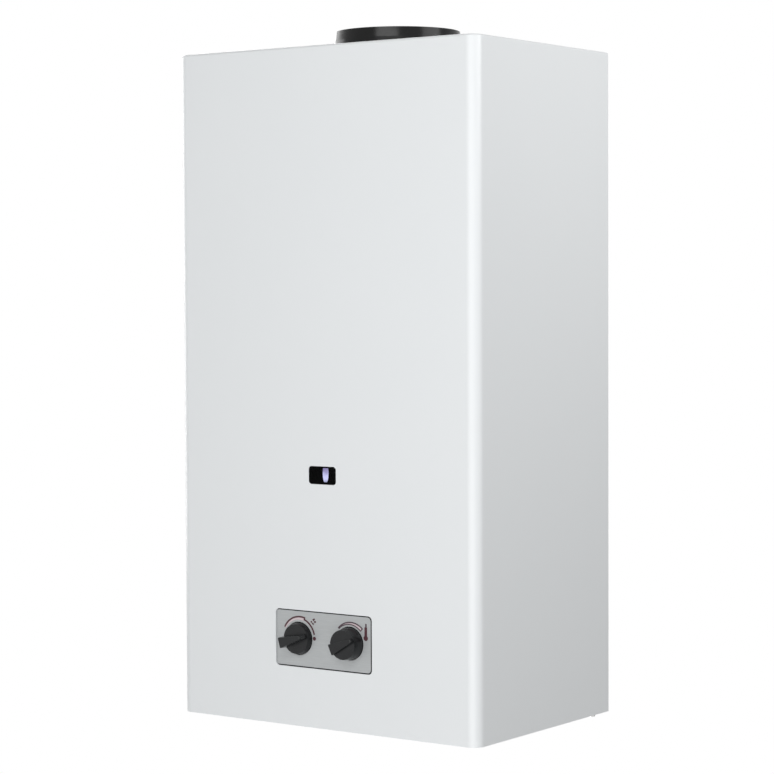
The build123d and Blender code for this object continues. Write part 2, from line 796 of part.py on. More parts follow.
# Gas valve body, with the knob's push and safety valve along Y and the main valve along X
with BuildPart() as gas_valve_body:
    with BuildSketch(Plane.XZ.offset(valve_back)):
        with Locations((-gas_body_width / 2, level((valve_floor + valve_roof) / 2))):
            Rectangle(gas_body_width, valve_roof - valve_floor)
    extrude(amount=valve_front - valve_back)
    fillet(gas_valve_body.edges().filter_by(Axis.Y).group_by(Axis.X)[0], valve_edge)
    # Gland seat, spring chamber, pin hole and safety chamber
    with BuildSketch(Plane.XZ.offset(valve_front)):
        with Locations((-knob_x, level(knob_height))):
            Circle(gland_radius + seat_clearance)
    extrude(amount=-gland_length, mode=Mode.SUBTRACT)
    with BuildSketch(Plane.XZ.offset(gland_back)):
        with Locations((-knob_x, level(knob_height))):
            Circle(spring_chamber_radius)
    extrude(amount=-spring_chamber_length, mode=Mode.SUBTRACT)
    with BuildSketch(Plane.XZ.offset(spring_wall)):
        with Locations((-knob_x, level(knob_height))):
            Circle(pin_radius + running_clearance)
    extrude(amount=-seat_wall, mode=Mode.SUBTRACT)
    with BuildSketch(Plane.XZ.offset(safety_seat)):
        with Locations((-knob_x, level(knob_height))):
            Circle(safety_chamber_radius)
    extrude(amount=valve_back - safety_seat, mode=Mode.SUBTRACT)
    # Main valve chamber and seat
    with BuildSketch(Plane.YZ.offset(-gas_body_width)):
        with Locations((-rod_depth, level(rod_height))):
            Circle(main_chamber_radius)
    extrude(amount=main_chamber_length, mode=Mode.SUBTRACT)
    with BuildSketch(Plane.YZ.offset(main_seat_x)):
        with Locations((-rod_depth, level(rod_height))):
            Circle(main_seat_radius)
    extrude(amount=-main_seat_x, mode=Mode.SUBTRACT)
    # Gas ways: inlet from the back, outlet to the riser, pilot tap
    with BuildSketch(Plane.XZ.offset(valve_back)):
        with Locations((gas_x, level(port_height))):
            Circle(port_radius)
    extrude(amount=(rod_depth - main_chamber_radius - valve_back) / 2, mode=Mode.SUBTRACT)
    with BuildSketch(Plane.XY.offset(level(valve_roof))):
        with Locations((gas_outlet_x, -rod_depth)):
            Circle(pipe_radius - pipe_wall)
    extrude(amount=rod_height - valve_roof, mode=Mode.SUBTRACT)
    with BuildSketch(Plane.XY.offset(level(valve_roof))):
        with Locations((pilot_tap_x, -pilot_tap_depth)):
            Circle(pilot_bore)
    extrude(amount=-seat_wall, mode=Mode.SUBTRACT)
gas_valve_body.part.label = "gas_valve_body"
export_step(gas_valve_body.part, "parts/gas_valve_body.step")

# Push pin with the collar that the knob spring lifts
with BuildPart() as push_pin:
    with BuildSketch(Plane.XZ.offset(collar_back)):
        with Locations((-knob_x, level(knob_height))):
            Circle(collar_radius)
    extrude(amount=collar_thickness)
    with BuildSketch(Plane.XZ.offset(collar_back)):
        with Locations((-knob_x, level(knob_height))):
            Circle(pin_radius)
    extrude(amount=safety_disc_front + push_gap - collar_back)
push_pin.part.label = "push_pin"
export_step(push_pin.part, "parts/push_pin.step")

# Safety valve disc and its stem, which the magnet holds open
with BuildPart() as safety_valve_disc:
    with BuildSketch(Plane.XZ.offset(safety_disc_back)):
        with Locations((-knob_x, level(knob_height))):
            Circle(safety_disc_radius)
    extrude(amount=safety_disc_thickness)
    with BuildSketch(Plane.XZ.offset(safety_disc_back)):
        with Locations((-knob_x, level(knob_height))):
            Circle(stem_radius)
    extrude(amount=-stem_length)
safety_valve_disc.part.label = "safety_valve_disc"
export_step(safety_valve_disc.part, "parts/safety_valve_disc.step")

# Safety magnet, screwed into the back of the gas valve body
with BuildPart() as safety_magnet:
    with BuildSketch(Plane.XZ.offset(magnet_face)):
        with Locations((-knob_x, level(knob_height))):
            Circle(safety_chamber_radius - seat_clearance)
    extrude(amount=-magnet_seat)
    with BuildSketch(Plane.XZ.offset(valve_back)):
        with Locations((-knob_x, level(knob_height))):
            RegularPolygon(gland_hex_radius, 6)
    extrude(amount=-magnet_hex)
    with BuildSketch(Plane.XZ.offset(valve_back - magnet_hex)):
        with Locations((-knob_x, level(knob_height))):
            Circle(magnet_stub_radius)
    extrude(amount=-magnet_stub)
    with BuildSketch(Plane.XZ.offset(magnet_face)):
        with Locations((-knob_x, level(knob_height))):
            Circle(stem_radius + stem_clearance)
    extrude(amount=-magnet_bore, mode=Mode.SUBTRACT)
safety_magnet.part.label = "safety_magnet"
export_step(safety_magnet.part, "parts/safety_magnet.step")

# Main gas valve disc with its spring hub
with BuildPart() as gas_valve_disc:
    with BuildSketch(Plane.YZ.offset(main_disc_x)):
        with Locations((-rod_depth, level(rod_height))):
            Circle(main_disc_radius)
    extrude(amount=-main_disc_thickness)
    with BuildSketch(Plane.YZ.offset(main_disc_x - main_disc_thickness)):
        with Locations((-rod_depth, level(rod_height))):
            Circle(main_hub_radius)
    extrude(amount=-main_hub)
gas_valve_disc.part.label = "gas_valve_disc"
export_step(gas_valve_disc.part, "parts/gas_valve_disc.step")

# Plug that closes the main valve chamber
with BuildPart() as gas_valve_plug:
    with BuildSketch(Plane.YZ.offset(-gas_body_width)):
        with Locations((-rod_depth, level(rod_height))):
            Circle(main_chamber_radius - seat_clearance)
    extrude(amount=plug_insert)
    with BuildSketch(Plane.YZ.offset(-gas_body_width)):
        with Locations((-rod_depth, level(rod_height))):
            RegularPolygon(plug_hex_radius, 6)
    extrude(amount=-plug_hex)
gas_valve_plug.part.label = "gas_valve_plug"
export_step(gas_valve_plug.part, "parts/gas_valve_plug.step")


# Compression spring of round wire between two seats
def build_spring(seat, direction, space, mean_radius, wire, turns):
    coil_height = space - 2 * spring_gap - wire
    first_turn = Vector(*seat) + Vector(*direction) * (spring_gap + wire / 2)
    with BuildPart() as spring:
        with BuildLine() as coil:
            Helix(coil_height / turns, coil_height, mean_radius, center=first_turn, direction=direction)
        with BuildSketch(Plane(origin=coil.line @ 0, z_dir=coil.line % 0)):
            Circle(wire / 2)
        sweep(is_frenet=True)
    return spring


knob_spring = build_spring(
    (-knob_x, -spring_wall, level(knob_height)),
    (0, -1, 0),
    collar_back - spring_wall,
    knob_spring_radius,
    knob_spring_wire,
    knob_spring_turns,
)
knob_spring.part.label = "knob_spring"
export_step(knob_spring.part, "parts/knob_spring.step")

safety_spring = build_spring(
    (-knob_x, -magnet_face, level(knob_height)),
    (0, -1, 0),
    safety_disc_back - magnet_face,
    safety_spring_radius,
    safety_spring_wire,
    safety_spring_turns,
)
safety_spring.part.label = "safety_spring"
export_step(safety_spring.part, "parts/safety_spring.step")

gas_valve_spring = build_spring(
    (plug_face_x, -rod_depth, level(rod_height)),
    (1, 0, 0),
    main_disc_x - main_disc_thickness - plug_face_x,
    main_spring_radius,
    main_spring_wire,
    main_spring_turns,
)
gas_valve_spring.part.label = "gas_valve_spring"
export_step(gas_valve_spring.part, "parts/gas_valve_spring.step")

# Piezo igniter round the gas spindle, with its crystal barrel above and a terminal at the side
with BuildPart() as piezo_igniter:
    with BuildSketch(Plane.XZ.offset(gland_front)):
        with Locations((-knob_x, level(knob_height))):
            RectangleRounded(piezo_width, piezo_tall, piezo_wall)
    extrude(amount=piezo_depth)
    with BuildSketch(Plane.XZ.offset(gland_front)):
        with Locations((-knob_x, level(knob_height + barrel_rise))):
            Circle(barrel_radius)
    extrude(amount=barrel_length)
    with BuildSketch(Plane.YZ.offset(-knob_x)):
        with Locations((-(gland_front + terminal_setback), level(knob_height + barrel_rise))):
            Circle(terminal_radius)
    extrude(amount=-(barrel_radius + terminal_length))
    # Passage for the spindle and the cam's room
    with BuildSketch(Plane.XZ.offset(gland_front)):
        with Locations((-knob_x, level(knob_height))):
            Circle(piezo_passage_radius)
    extrude(amount=piezo_depth, mode=Mode.SUBTRACT)
    with BuildSketch(Plane.XZ.offset(gland_front + piezo_wall)):
        with Locations((-knob_x, level(knob_height))):
            Circle(piezo_cavity_radius)
    extrude(amount=piezo_depth - 2 * piezo_wall, mode=Mode.SUBTRACT)
piezo_igniter.part.label = "piezo_igniter"
export_step(piezo_igniter.part, "parts/piezo_igniter.step")

# Ignition cam on the gas spindle, inside the igniter
cam_front = gland_front + piezo_depth - piezo_wall - cam_inset
with BuildPart() as ignition_cam:
    with BuildSketch(knob_plane(-knob_x, cam_front, gas_pointer_angle)):
        Circle(cam_radius)
        with Locations((cam_lobe, 0)):
            Circle(cam_radius)
        Circle(spindle_radius + running_clearance, mode=Mode.SUBTRACT)
    extrude(amount=-cam_thickness)
ignition_cam.part.label = "ignition_cam"
export_step(ignition_cam.part, "parts/ignition_cam.step")

# Water valve body, with a round flange for the diaphragm
with BuildPart() as water_valve_body:
    with BuildSketch(Plane.XZ.offset(valve_back)):
        with Locations((water_body_width / 2, level((valve_floor + valve_roof) / 2))):
            Rectangle(water_body_width, valve_roof - valve_floor)
    extrude(amount=valve_front - valve_back)
    fillet(water_valve_body.edges().filter_by(Axis.Y).group_by(Axis.X)[-1], valve_edge)
    with BuildSketch(Plane.YZ.offset(diaphragm_x)):
        with Locations((-rod_depth, level(rod_height))):
            Circle(flange_radius)
    extrude(amount=-flange_thickness)
    with BuildSketch(Plane.YZ.offset(diaphragm_x)):
        with Locations((-rod_depth, level(rod_height))):
            Circle(diaphragm_cavity_radius)
    extrude(amount=-diaphragm_cavity, mode=Mode.SUBTRACT)
    # Rod guide and water chamber
    with BuildSketch(Plane.YZ):
        with Locations((-rod_depth, level(rod_height))):
            Circle(rod_radius + running_clearance)
    extrude(amount=rod_guide, mode=Mode.SUBTRACT)
    with BuildSketch(Plane.YZ.offset(rod_guide)):
        with Locations((-rod_depth, level(rod_height))):
            Circle(water_chamber_radius)
    extrude(amount=diaphragm_x - diaphragm_cavity - rod_guide, mode=Mode.SUBTRACT)
    # Gland seat and the throttle's chamber
    with BuildSketch(Plane.XZ.offset(valve_front)):
        with Locations((knob_x, level(knob_height))):
            Circle(gland_radius + seat_clearance)
    extrude(amount=-gland_length, mode=Mode.SUBTRACT)
    with BuildSketch(Plane.XZ.offset(gland_back)):
        with Locations((knob_x, level(knob_height))):
            Circle(temperature_chamber_radius)
    extrude(amount=-temperature_chamber_length, mode=Mode.SUBTRACT)
    # Water ways: inlet from the back, outlet on top, drain below
    with BuildSketch(Plane.XZ.offset(valve_back)):
        with Locations((cold_x, level(port_height))):
            Circle(port_radius)
    extrude(amount=rod_depth - valve_back, mode=Mode.SUBTRACT)
    with BuildSketch(Plane.XY.offset(level(valve_roof))):
        with Locations((cold_x, -cold_outlet_depth)):
            Circle(pipe_radius - pipe_wall)
    extrude(amount=port_height - valve_roof, mode=Mode.SUBTRACT)
    with BuildSketch(Plane.XY.offset(level(valve_floor))):
        with Locations((drain_x, -rod_depth)):
            Circle(drain_radius + seat_clearance)
    extrude(amount=rod_height - valve_floor, mode=Mode.SUBTRACT)
    # Blind holes for the cover screws
    with BuildSketch(Plane.YZ.offset(diaphragm_x)):
        with Locations((-rod_depth, level(rod_height))):
            with PolarLocations(valve_screw_circle, valve_screw_count):
                Circle(valve_screw_radius + seat_clearance)
    extrude(amount=-valve_screw_grip, mode=Mode.SUBTRACT)
water_valve_body.part.label = "water_valve_body"
export_step(water_valve_body.part, "parts/water_valve_body.step")

# Rubber diaphragm clamped between the flange and the cover
with BuildPart() as diaphragm:
    with BuildSketch(Plane.YZ.offset(diaphragm_x)):
        with Locations((-rod_depth, level(rod_height))):
            Circle(flange_radius)
            with PolarLocations(valve_screw_circle, valve_screw_count):
                Circle(valve_screw_radius + seat_clearance, mode=Mode.SUBTRACT)
    extrude(amount=diaphragm_thickness)
diaphragm.part.label = "diaphragm"
export_step(diaphragm.part, "parts/diaphragm.step")

# Diaphragm plate and the push rod that lifts the main gas valve
with BuildPart() as diaphragm_plate:
    with BuildSketch(Plane.YZ.offset(plate_x)):
        with Locations((-rod_depth, level(rod_height))):
            Circle(plate_radius)
    extrude(amount=plate_thickness)
    with BuildSketch(Plane.YZ.offset(plate_x)):
        with Locations((-rod_depth, level(rod_height))):
            Circle(rod_radius)
    extrude(amount=main_disc_x + push_gap - plate_x)
diaphragm_plate.part.label = "diaphragm_plate"
export_step(diaphragm_plate.part, "parts/diaphragm_plate.step")

# Domed cover of the diaphragm chamber
with BuildPart() as water_valve_cover:
    with BuildSketch(Plane.YZ.offset(cover_x)):
        with Locations((-rod_depth, level(rod_height))):
            Circle(flange_radius)
    extrude(amount=cover_flange)
    with BuildSketch(Plane.YZ.offset(cover_x + cover_flange)):
        with Locations((-rod_depth, level(rod_height))):
            Circle(dome_radius)
    extrude(amount=dome_rise)
    fillet(water_valve_cover.faces().sort_by(Axis.X)[-1].edges(), valve_edge)
    with BuildSketch(Plane.YZ.offset(cover_x)):
        with Locations((-rod_depth, level(rod_height))):
            Circle(dome_radius - dome_wall)
    extrude(amount=cover_flange + dome_rise - dome_wall, mode=Mode.SUBTRACT)
    with BuildSketch(Plane.YZ.offset(cover_x)):
        with Locations((-rod_depth, level(rod_height))):
            with PolarLocations(valve_screw_circle, valve_screw_count):
                Circle(valve_screw_radius + seat_clearance)
    extrude(amount=cover_flange, mode=Mode.SUBTRACT)
water_valve_cover.part.label = "water_valve_cover"
export_step(water_valve_cover.part, "parts/water_valve_cover.step")

# Socket-head screws of the diaphragm cover
with BuildPart() as water_valve_screws:
    with BuildSketch(Plane.YZ.offset(cover_x + cover_flange)):
        with Locations((-rod_depth, level(rod_height))):
            with PolarLocations(valve_screw_circle, valve_screw_count):
                Circle(valve_screw_head_radius)
                RegularPolygon(valve_screw_socket, 6, mode=Mode.SUBTRACT)
    extrude(amount=valve_screw_head)
    with BuildSketch(Plane.YZ.offset(cover_x + cover_flange)):
        with Locations((-rod_depth, level(rod_height))):
            with PolarLocations(valve_screw_circle, valve_screw_count):
                Circle(valve_screw_radius)
    extrude(amount=-(cover_flange + diaphragm_thickness + valve_screw_grip - seat_clearance))
water_valve_screws.part.label = "water_valve_screws"
export_step(water_valve_screws.part, "parts/water_valve_screws.step")

# Drain plug under the water valve
with BuildPart() as drain_plug:
    with BuildSketch(Plane.XY.offset(level(valve_floor))):
        with Locations((drain_x, -rod_depth)):
            Circle(drain_radius)
    extrude(amount=drain_depth)
    with BuildSketch(Plane.XY.offset(level(valve_floor))):
        with Locations((drain_x, -rod_depth)):
            RegularPolygon(drain_hex_radius, 6)
    extrude(amount=-drain_hex)
drain_plug.part.label = "drain_plug"
export_step(drain_plug.part, "parts/drain_plug.step")


# Brass elbow from a valve's back port down to a male thread below the casing
def build_elbow(x):
    rail_top = rail_height + rail_sheet
    with BuildPart() as elbow:
        with BuildLine() as bend:
            FilletPolyline(
                (x, -valve_back, level(port_height)),
                (x, -connection_setback, level(port_height)),
                (x, -connection_setback, level(-thread_drop)),
                radius=elbow_bend,
            )
        with BuildSketch(Plane(origin=bend.line @ 0, z_dir=bend.line % 0)):
            Circle(elbow_radius)
        sweep(path=bend.line)
        with BuildSketch(Plane.XZ.offset(valve_back)):
            with Locations((x, level(port_height))):
                RegularPolygon(elbow_hex_radius, 6)
        extrude(amount=-elbow_hex)
        with BuildSketch(Plane.XY.offset(level(-thread_drop))):
            with Locations((x, -connection_setback)):
                Circle(thread_radius)
        extrude(amount=thread_length)
        with BuildSketch(Plane.XY.offset(level(-thread_drop))):
            with Locations((x, -connection_setback)):
                Circle(thread_radius - thread_relief)
        extrude(amount=thread_drop + rail_top)
        with BuildSketch(Plane.XY.offset(level(rail_top))):
            with Locations((x, -connection_setback)):
                RegularPolygon(union_hex_radius, 6)
        extrude(amount=union_hex)
        with BuildSketch(Plane(origin=bend.line @ 0, z_dir=bend.line % 0)) as bore:
            Circle(port_radius)
        sweep(bore.sketch, path=bend.line, mode=Mode.SUBTRACT)
    return elbow


gas_inlet_elbow = build_elbow(gas_x)
gas_inlet_elbow.part.label = "gas_inlet_elbow"
export_step(gas_inlet_elbow.part, "parts/gas_inlet_elbow.step")

cold_inlet_elbow = build_elbow(cold_x)
cold_inlet_elbow.part.label = "cold_inlet_elbow"
export_step(cold_inlet_elbow.part, "parts/cold_inlet_elbow.step")

# Hot outlet union, straight through the connection rail
union_top = rail_height + rail_sheet + union_hex + union_stub
with BuildPart() as hot_outlet_union:
    with BuildSketch(Plane.XY.offset(level(-thread_drop))):
        with Locations((hot_x, -connection_setback)):
            Circle(thread_radius)
    extrude(amount=thread_length)
    with BuildSketch(Plane.XY.offset(level(-thread_drop))):
        with Locations((hot_x, -connection_setback)):
            Circle(thread_radius - thread_relief)
    extrude(amount=thread_drop + rail_height + rail_sheet)
    with BuildSketch(Plane.XY.offset(level(rail_height + rail_sheet))):
        with Locations((hot_x, -connection_setback)):
            RegularPolygon(union_hex_radius, 6)
    extrude(amount=union_hex)
    with BuildSketch(Plane.XY.offset(level(rail_height + rail_sheet + union_hex))):
        with Locations((hot_x, -connection_setback)):
            Circle(elbow_radius)
    extrude(amount=union_stub)
    with BuildSketch(Plane.XY.offset(level(-thread_drop))):
        with Locations((hot_x, -connection_setback)):
            Circle(port_radius)
    extrude(amount=thread_drop + union_top, mode=Mode.SUBTRACT)
hot_outlet_union.part.label = "hot_outlet_union"
export_step(hot_outlet_union.part, "parts/hot_outlet_union.step")

# Connection rail: an angle on the back plate that carries the three threads
connection_places = [(x, -connection_setback) for x in (hot_x, gas_x, cold_x)]
with BuildPart() as connection_rail:
    rail_middle = (hot_x + cold_x) / 2
    rail_length = cold_x - hot_x + 2 * rail_margin
    with BuildSketch(Plane.XY.offset(level(rail_height))):
        with Locations((rail_middle, -(connection_setback + rail_front + tray_sheet) / 2)):
            Rectangle(rail_length, connection_setback + rail_front - tray_sheet)
        with Locations(*connection_places):
            Circle(thread_radius + thread_clearance, mode=Mode.SUBTRACT)
    extrude(amount=rail_sheet)
    with BuildSketch(Plane.XZ.offset(tray_sheet)):
        with Locations((rail_middle, level(rail_height + rail_upstand / 2))):
            Rectangle(rail_length, rail_upstand)
    extrude(amount=rail_sheet)
connection_rail.part.label = "connection_rail"
export_step(connection_rail.part, "parts/connection_rail.step")

# Lock nuts under the connection rail
with BuildPart() as lock_nuts:
    with BuildSketch(Plane.XY.offset(level(rail_height))):
        with Locations(*connection_places):
            RegularPolygon(lock_nut_radius, 6)
            Circle(thread_radius + running_clearance, mode=Mode.SUBTRACT)
    extrude(amount=-lock_nut)
lock_nuts.part.label = "lock_nuts"
export_step(lock_nuts.part, "parts/lock_nuts.step")


# Round tube swept along straight runs and tangent bends
def build_pipe(points, bends, radius, wall):
    with BuildPart() as pipe:
        with BuildLine() as route:
            FilletPolyline(*points, radius=bends)
        with BuildSketch(Plane(origin=route.line @ 0, z_dir=route.line % 0)):
            Circle(radius)
            if wall:
                Circle(radius - wall, mode=Mode.SUBTRACT)
        sweep(path=route.line)
    return pipe


# Cold pipe from the water valve up to the jacket coil
cold_pipe = build_pipe(
    [
        (cold_x, -cold_outlet_depth, level(valve_roof)),
        (cold_x, -cold_outlet_depth, level(valve_roof + cold_foot)),
        (coil_x, -cold_outlet_depth, level(valve_roof + cold_foot + cold_step)),
        (coil_x, -cold_outlet_depth, level(coil_start)),
    ],
    pipe_bend,
    pipe_radius,
    pipe_wall,
)
cold_pipe.part.label = "cold_pipe"
export_step(cold_pipe.part, "parts/cold_pipe.step")

# Jacket coil: two turns round the combustion chamber, then up to the exchanger
coil_corners = [
    (coil_x, -coil_front),
    (-coil_x, -coil_front),
    (-coil_x, -coil_back),
    (coil_x, -coil_back),
]
coil_points = [
    (coil_x, -cold_outlet_depth, level(coil_start)),
    (coil_x, -cold_outlet_depth, level(coil_turn_in)),
]
for corner in range(7):
    corner_x, corner_y = coil_corners[corner % 4]
    coil_points.append((corner_x, corner_y, level(coil_turn_in + coil_rise * (corner + 1))))
coil_points.append((riser_x, -coil_back, level(coil_turn_in + coil_rise * 8)))
coil_points.append((riser_x, -first_row, level(coil_turn_in + coil_rise * 9)))
coil_points.append((riser_x, -first_row, level(tube_height)))
coil_points.append((tube_end_x, -first_row, level(tube_height)))
coil_bend = chamber_corner + pipe_radius + pipe_gap
coil_bends = [pipe_bend] + [coil_bend] * 8 + [pipe_bend] * 2
jacket_coil = build_pipe(coil_points, coil_bends, pipe_radius, pipe_wall)
jacket_coil.part.label = "jacket_coil"
export_step(jacket_coil.part, "parts/jacket_coil.step")

# Exchanger tubes: one serpentine through the fins
with BuildPart() as exchanger_tubes:
    with BuildLine() as serpentine:
        side = 1
        for row, depth in enumerate(row_depths):
            run_start = (side * tube_end_x, -depth, level(tube_height))
            run_end = (-side * tube_end_x, -depth, level(tube_height))
            Line(run_start, run_end)
            if row < tube_rows - 1:
                bend_middle = (
                    -side * (tube_end_x + tube_pitch / 2),
                    -(depth - tube_pitch / 2),
                    level(tube_height),
                )
                bend_end = (-side * tube_end_x, -(depth - tube_pitch), level(tube_height))
                ThreePointArc(run_end, bend_middle, bend_end)
            side = -side
    with BuildSketch(Plane(origin=serpentine.line @ 0, z_dir=serpentine.line % 0)):
        Circle(pipe_radius)
        Circle(pipe_radius - pipe_wall, mode=Mode.SUBTRACT)
    sweep(path=serpentine.line)
exchanger_tubes.part.label = "exchanger_tubes"
export_step(exchanger_tubes.part, "parts/exchanger_tubes.step")

# Exchanger fins across the tubes
with BuildPart() as fin:
    with BuildSketch(Plane.YZ.offset(-fin_thickness / 2)):
        with Locations((-chamber_middle, level(tube_height))):
            Rectangle(chamber_front - chamber_back - 2 * (chamber_sheet + fin_gap), fin_tall)
        with Locations(*[(-depth, level(tube_height)) for depth in row_depths]):
            Circle(pipe_radius + tube_fit, mode=Mode.SUBTRACT)
    extrude(amount=fin_thickness)
with BuildPart() as exchanger_fins:
    with GridLocations(fin_pitch, 0, fin_count, 1):
        add(fin.part)
exchanger_fins.part.label = "exchanger_fins"
export_step(exchanger_fins.part, "parts/exchanger_fins.step")

# Hot pipe from the exchanger down to the outlet union
hot_pipe = build_pipe(
    [
        (-tube_end_x, -last_row, level(tube_height)),
        (-riser_x, -last_row, level(tube_height)),
        (-riser_x, -last_row, level(union_top + hot_foot + hot_step)),
        (hot_x, -connection_setback, level(union_top + hot_foot)),
        (hot_x, -connection_setback, level(union_top)),
    ],
    pipe_bend,
    pipe_radius,
    pipe_wall,
)
hot_pipe.part.label = "hot_pipe"
export_step(hot_pipe.part, "parts/hot_pipe.step")

# Gas riser from the valve to the manifold
manifold_middle = (manifold_front + manifold_back) / 2
riser_middle = (valve_roof + manifold_floor) / 2
gas_riser = build_pipe(
    [
        (gas_outlet_x, -rod_depth, level(valve_roof)),
        (gas_outlet_x, -rod_depth, level(riser_middle - riser_step / 2)),
        (manifold_inlet_x, -manifold_middle, level(riser_middle + riser_step / 2)),
        (manifold_inlet_x, -manifold_middle, level(manifold_floor)),
    ],
    pipe_bend,
    pipe_radius,
    pipe_wall,
)
gas_riser.part.label = "gas_riser"
export_step(gas_riser.part, "parts/gas_riser.step")

# Union nuts at the foot of the three pipes
with BuildPart() as pipe_nuts:
    with BuildSketch(Plane.XY.offset(level(valve_roof))):
        with Locations((gas_outlet_x, -rod_depth), (cold_x, -cold_outlet_depth)):
            RegularPolygon(pipe_nut_radius, 6)
            Circle(pipe_radius + running_clearance, mode=Mode.SUBTRACT)
    extrude(amount=pipe_nut)
    with BuildSketch(Plane.XY.offset(level(union_top))):
        with Locations((hot_x, -connection_setback)):
            RegularPolygon(pipe_nut_radius, 6)
            Circle(pipe_radius + running_clearance, mode=Mode.SUBTRACT)
    extrude(amount=pipe_nut)
pipe_nuts.part.label = "pipe_nuts"
export_step(pipe_nuts.part, "parts/pipe_nuts.step")

# Combustion chamber: a copper jacket, open above and below, drilled for the tubes
with BuildPart() as combustion_chamber:
    with BuildSketch(Plane.XY.offset(level(chamber_floor))):
        with Locations((0, -chamber_middle)):
            RectangleRounded(chamber_width, chamber_front - chamber_back, chamber_corner)
            RectangleRounded(
                chamber_width - 2 * chamber_sheet,
                chamber_front - chamber_back - 2 * chamber_sheet,
                chamber_corner - chamber_sheet,
                mode=Mode.SUBTRACT,
            )
    extrude(amount=chamber_roof - chamber_floor)
    with BuildSketch(Plane.YZ.offset(-chamber_width / 2)):
        with Locations(*[(-depth, level(tube_height)) for depth in row_depths]):
            Circle(pipe_radius + tube_fit)
    extrude(amount=chamber_width, mode=Mode.SUBTRACT)
combustion_chamber.part.label = "combustion_chamber"
export_step(combustion_chamber.part, "parts/combustion_chamber.step")

# Burner frame: a folded ring under the chamber with a lip that carries the bars
with BuildPart() as burner_frame:
    frame_middle = (frame_front + chamber_back) / 2
    frame_depth = frame_front - chamber_back
    with BuildSketch(Plane.XY.offset(level(frame_floor))):
        with Locations((0, -frame_middle)):
            Rectangle(chamber_width, frame_depth)
            Rectangle(chamber_width - 2 * frame_sheet, frame_depth - 2 * frame_sheet, mode=Mode.SUBTRACT)
    extrude(amount=chamber_floor - frame_floor)
    with BuildSketch(Plane.XY.offset(level(frame_floor))):
        with Locations((0, -frame_middle)):
            Rectangle(chamber_width, frame_depth)
            Rectangle(chamber_width - 2 * frame_lip, frame_depth - 2 * frame_lip, mode=Mode.SUBTRACT)
    extrude(amount=frame_sheet)
burner_frame.part.label = "burner_frame"
export_step(burner_frame.part, "parts/burner_frame.step")

# Burner bars: slotted tops on bodies that end in a mixing tube at the front
bar_front = frame_front - frame_sheet - bar_end_gap
bar_back = chamber_back + frame_sheet + bar_end_gap
with BuildPart() as bar:
    with BuildSketch(Plane.YZ.offset(-bar_thickness / 2)):
        with BuildLine():
            Polyline(
                (-bar_front, level(bar_top)),
                (-bar_back, level(bar_top)),
                (-bar_back, level(bar_floor)),
                (-neck_rear + neck_slope, level(bar_floor)),
                (-neck_rear, level(intake_height - intake_radius)),
                (-neck_front, level(intake_height - intake_radius)),
                (-neck_front, level(bar_floor)),
                (-bar_front, level(bar_floor)),
                close=True,
            )
        make_face()
    extrude(amount=bar_thickness)
    with BuildSketch(Plane.XZ.offset(neck_rear)):
        with Locations((0, level(intake_height))):
            Circle(intake_radius)
    extrude(amount=intake_mouth - neck_rear)
    with BuildSketch(Plane.XZ.offset(intake_mouth)):
        with Locations((0, level(intake_height))):
            Circle(intake_bore)
    extrude(amount=neck_rear - intake_mouth, mode=Mode.SUBTRACT)
    with BuildSketch(Plane.XY.offset(level(bar_top))):
        with Locations((0, -(bar_front + bar_back) / 2)):
            with GridLocations(0, port_pitch, 1, port_count):
                Rectangle(port_slot_length, port_slot)
    extrude(amount=-port_slot_depth, mode=Mode.SUBTRACT)
with BuildPart() as burner_bars:
    with Locations(*[(x, 0, 0) for x in bar_places]):
        add(bar.part)
burner_bars.part.label = "burner_bars"
export_step(burner_bars.part, "parts/burner_bars.step")

# Gas manifold: a square tube across the front of the burner, on two welded feet
with BuildPart() as gas_manifold:
    with BuildSketch(Plane.YZ.offset(-manifold_length / 2)):
        with Locations((-manifold_middle, level((manifold_floor + manifold_roof) / 2))):
            Rectangle(manifold_front - manifold_back, manifold_roof - manifold_floor)
    extrude(amount=manifold_length)
    with BuildSketch(Plane.YZ.offset(manifold_wall - manifold_length / 2)):
        with Locations((-manifold_middle, level((manifold_floor + manifold_roof) / 2))):
            Rectangle(
                manifold_front - manifold_back - 2 * manifold_wall,
                manifold_roof - manifold_floor - 2 * manifold_wall,
            )
    extrude(amount=manifold_length - 2 * manifold_wall, mode=Mode.SUBTRACT)
    with BuildSketch(Plane.XY.offset(level(manifold_floor))):
        with Locations((manifold_inlet_x, -manifold_middle)):
            Circle(pipe_radius - pipe_wall)
    extrude(amount=manifold_wall, mode=Mode.SUBTRACT)
    with BuildSketch(Plane.XZ.offset(manifold_back)):
        with Locations(*[(x, level(intake_height)) for x in bar_places]):
            Circle(injector_tail_radius + seat_clearance)
    extrude(amount=manifold_wall, mode=Mode.SUBTRACT)
    foot_x = (manifold_length - manifold_foot) / 2
    with BuildSketch(Plane.XY.offset(level(manifold_roof))):
        with Locations((0, -(manifold_front + frame_front) / 2)):
            with GridLocations(2 * foot_x, 0, 2, 1):
                Rectangle(manifold_foot, manifold_front - frame_front)
    extrude(amount=manifold_wall)
    with BuildSketch(Plane.XZ.offset(frame_front)):
        with Locations((0, level(manifold_roof + manifold_foot_rise / 2))):
            with GridLocations(2 * foot_x, 0, 2, 1):
                Rectangle(manifold_foot, manifold_foot_rise)
    extrude(amount=manifold_wall)
gas_manifold.part.label = "gas_manifold"
export_step(gas_manifold.part, "parts/gas_manifold.step")

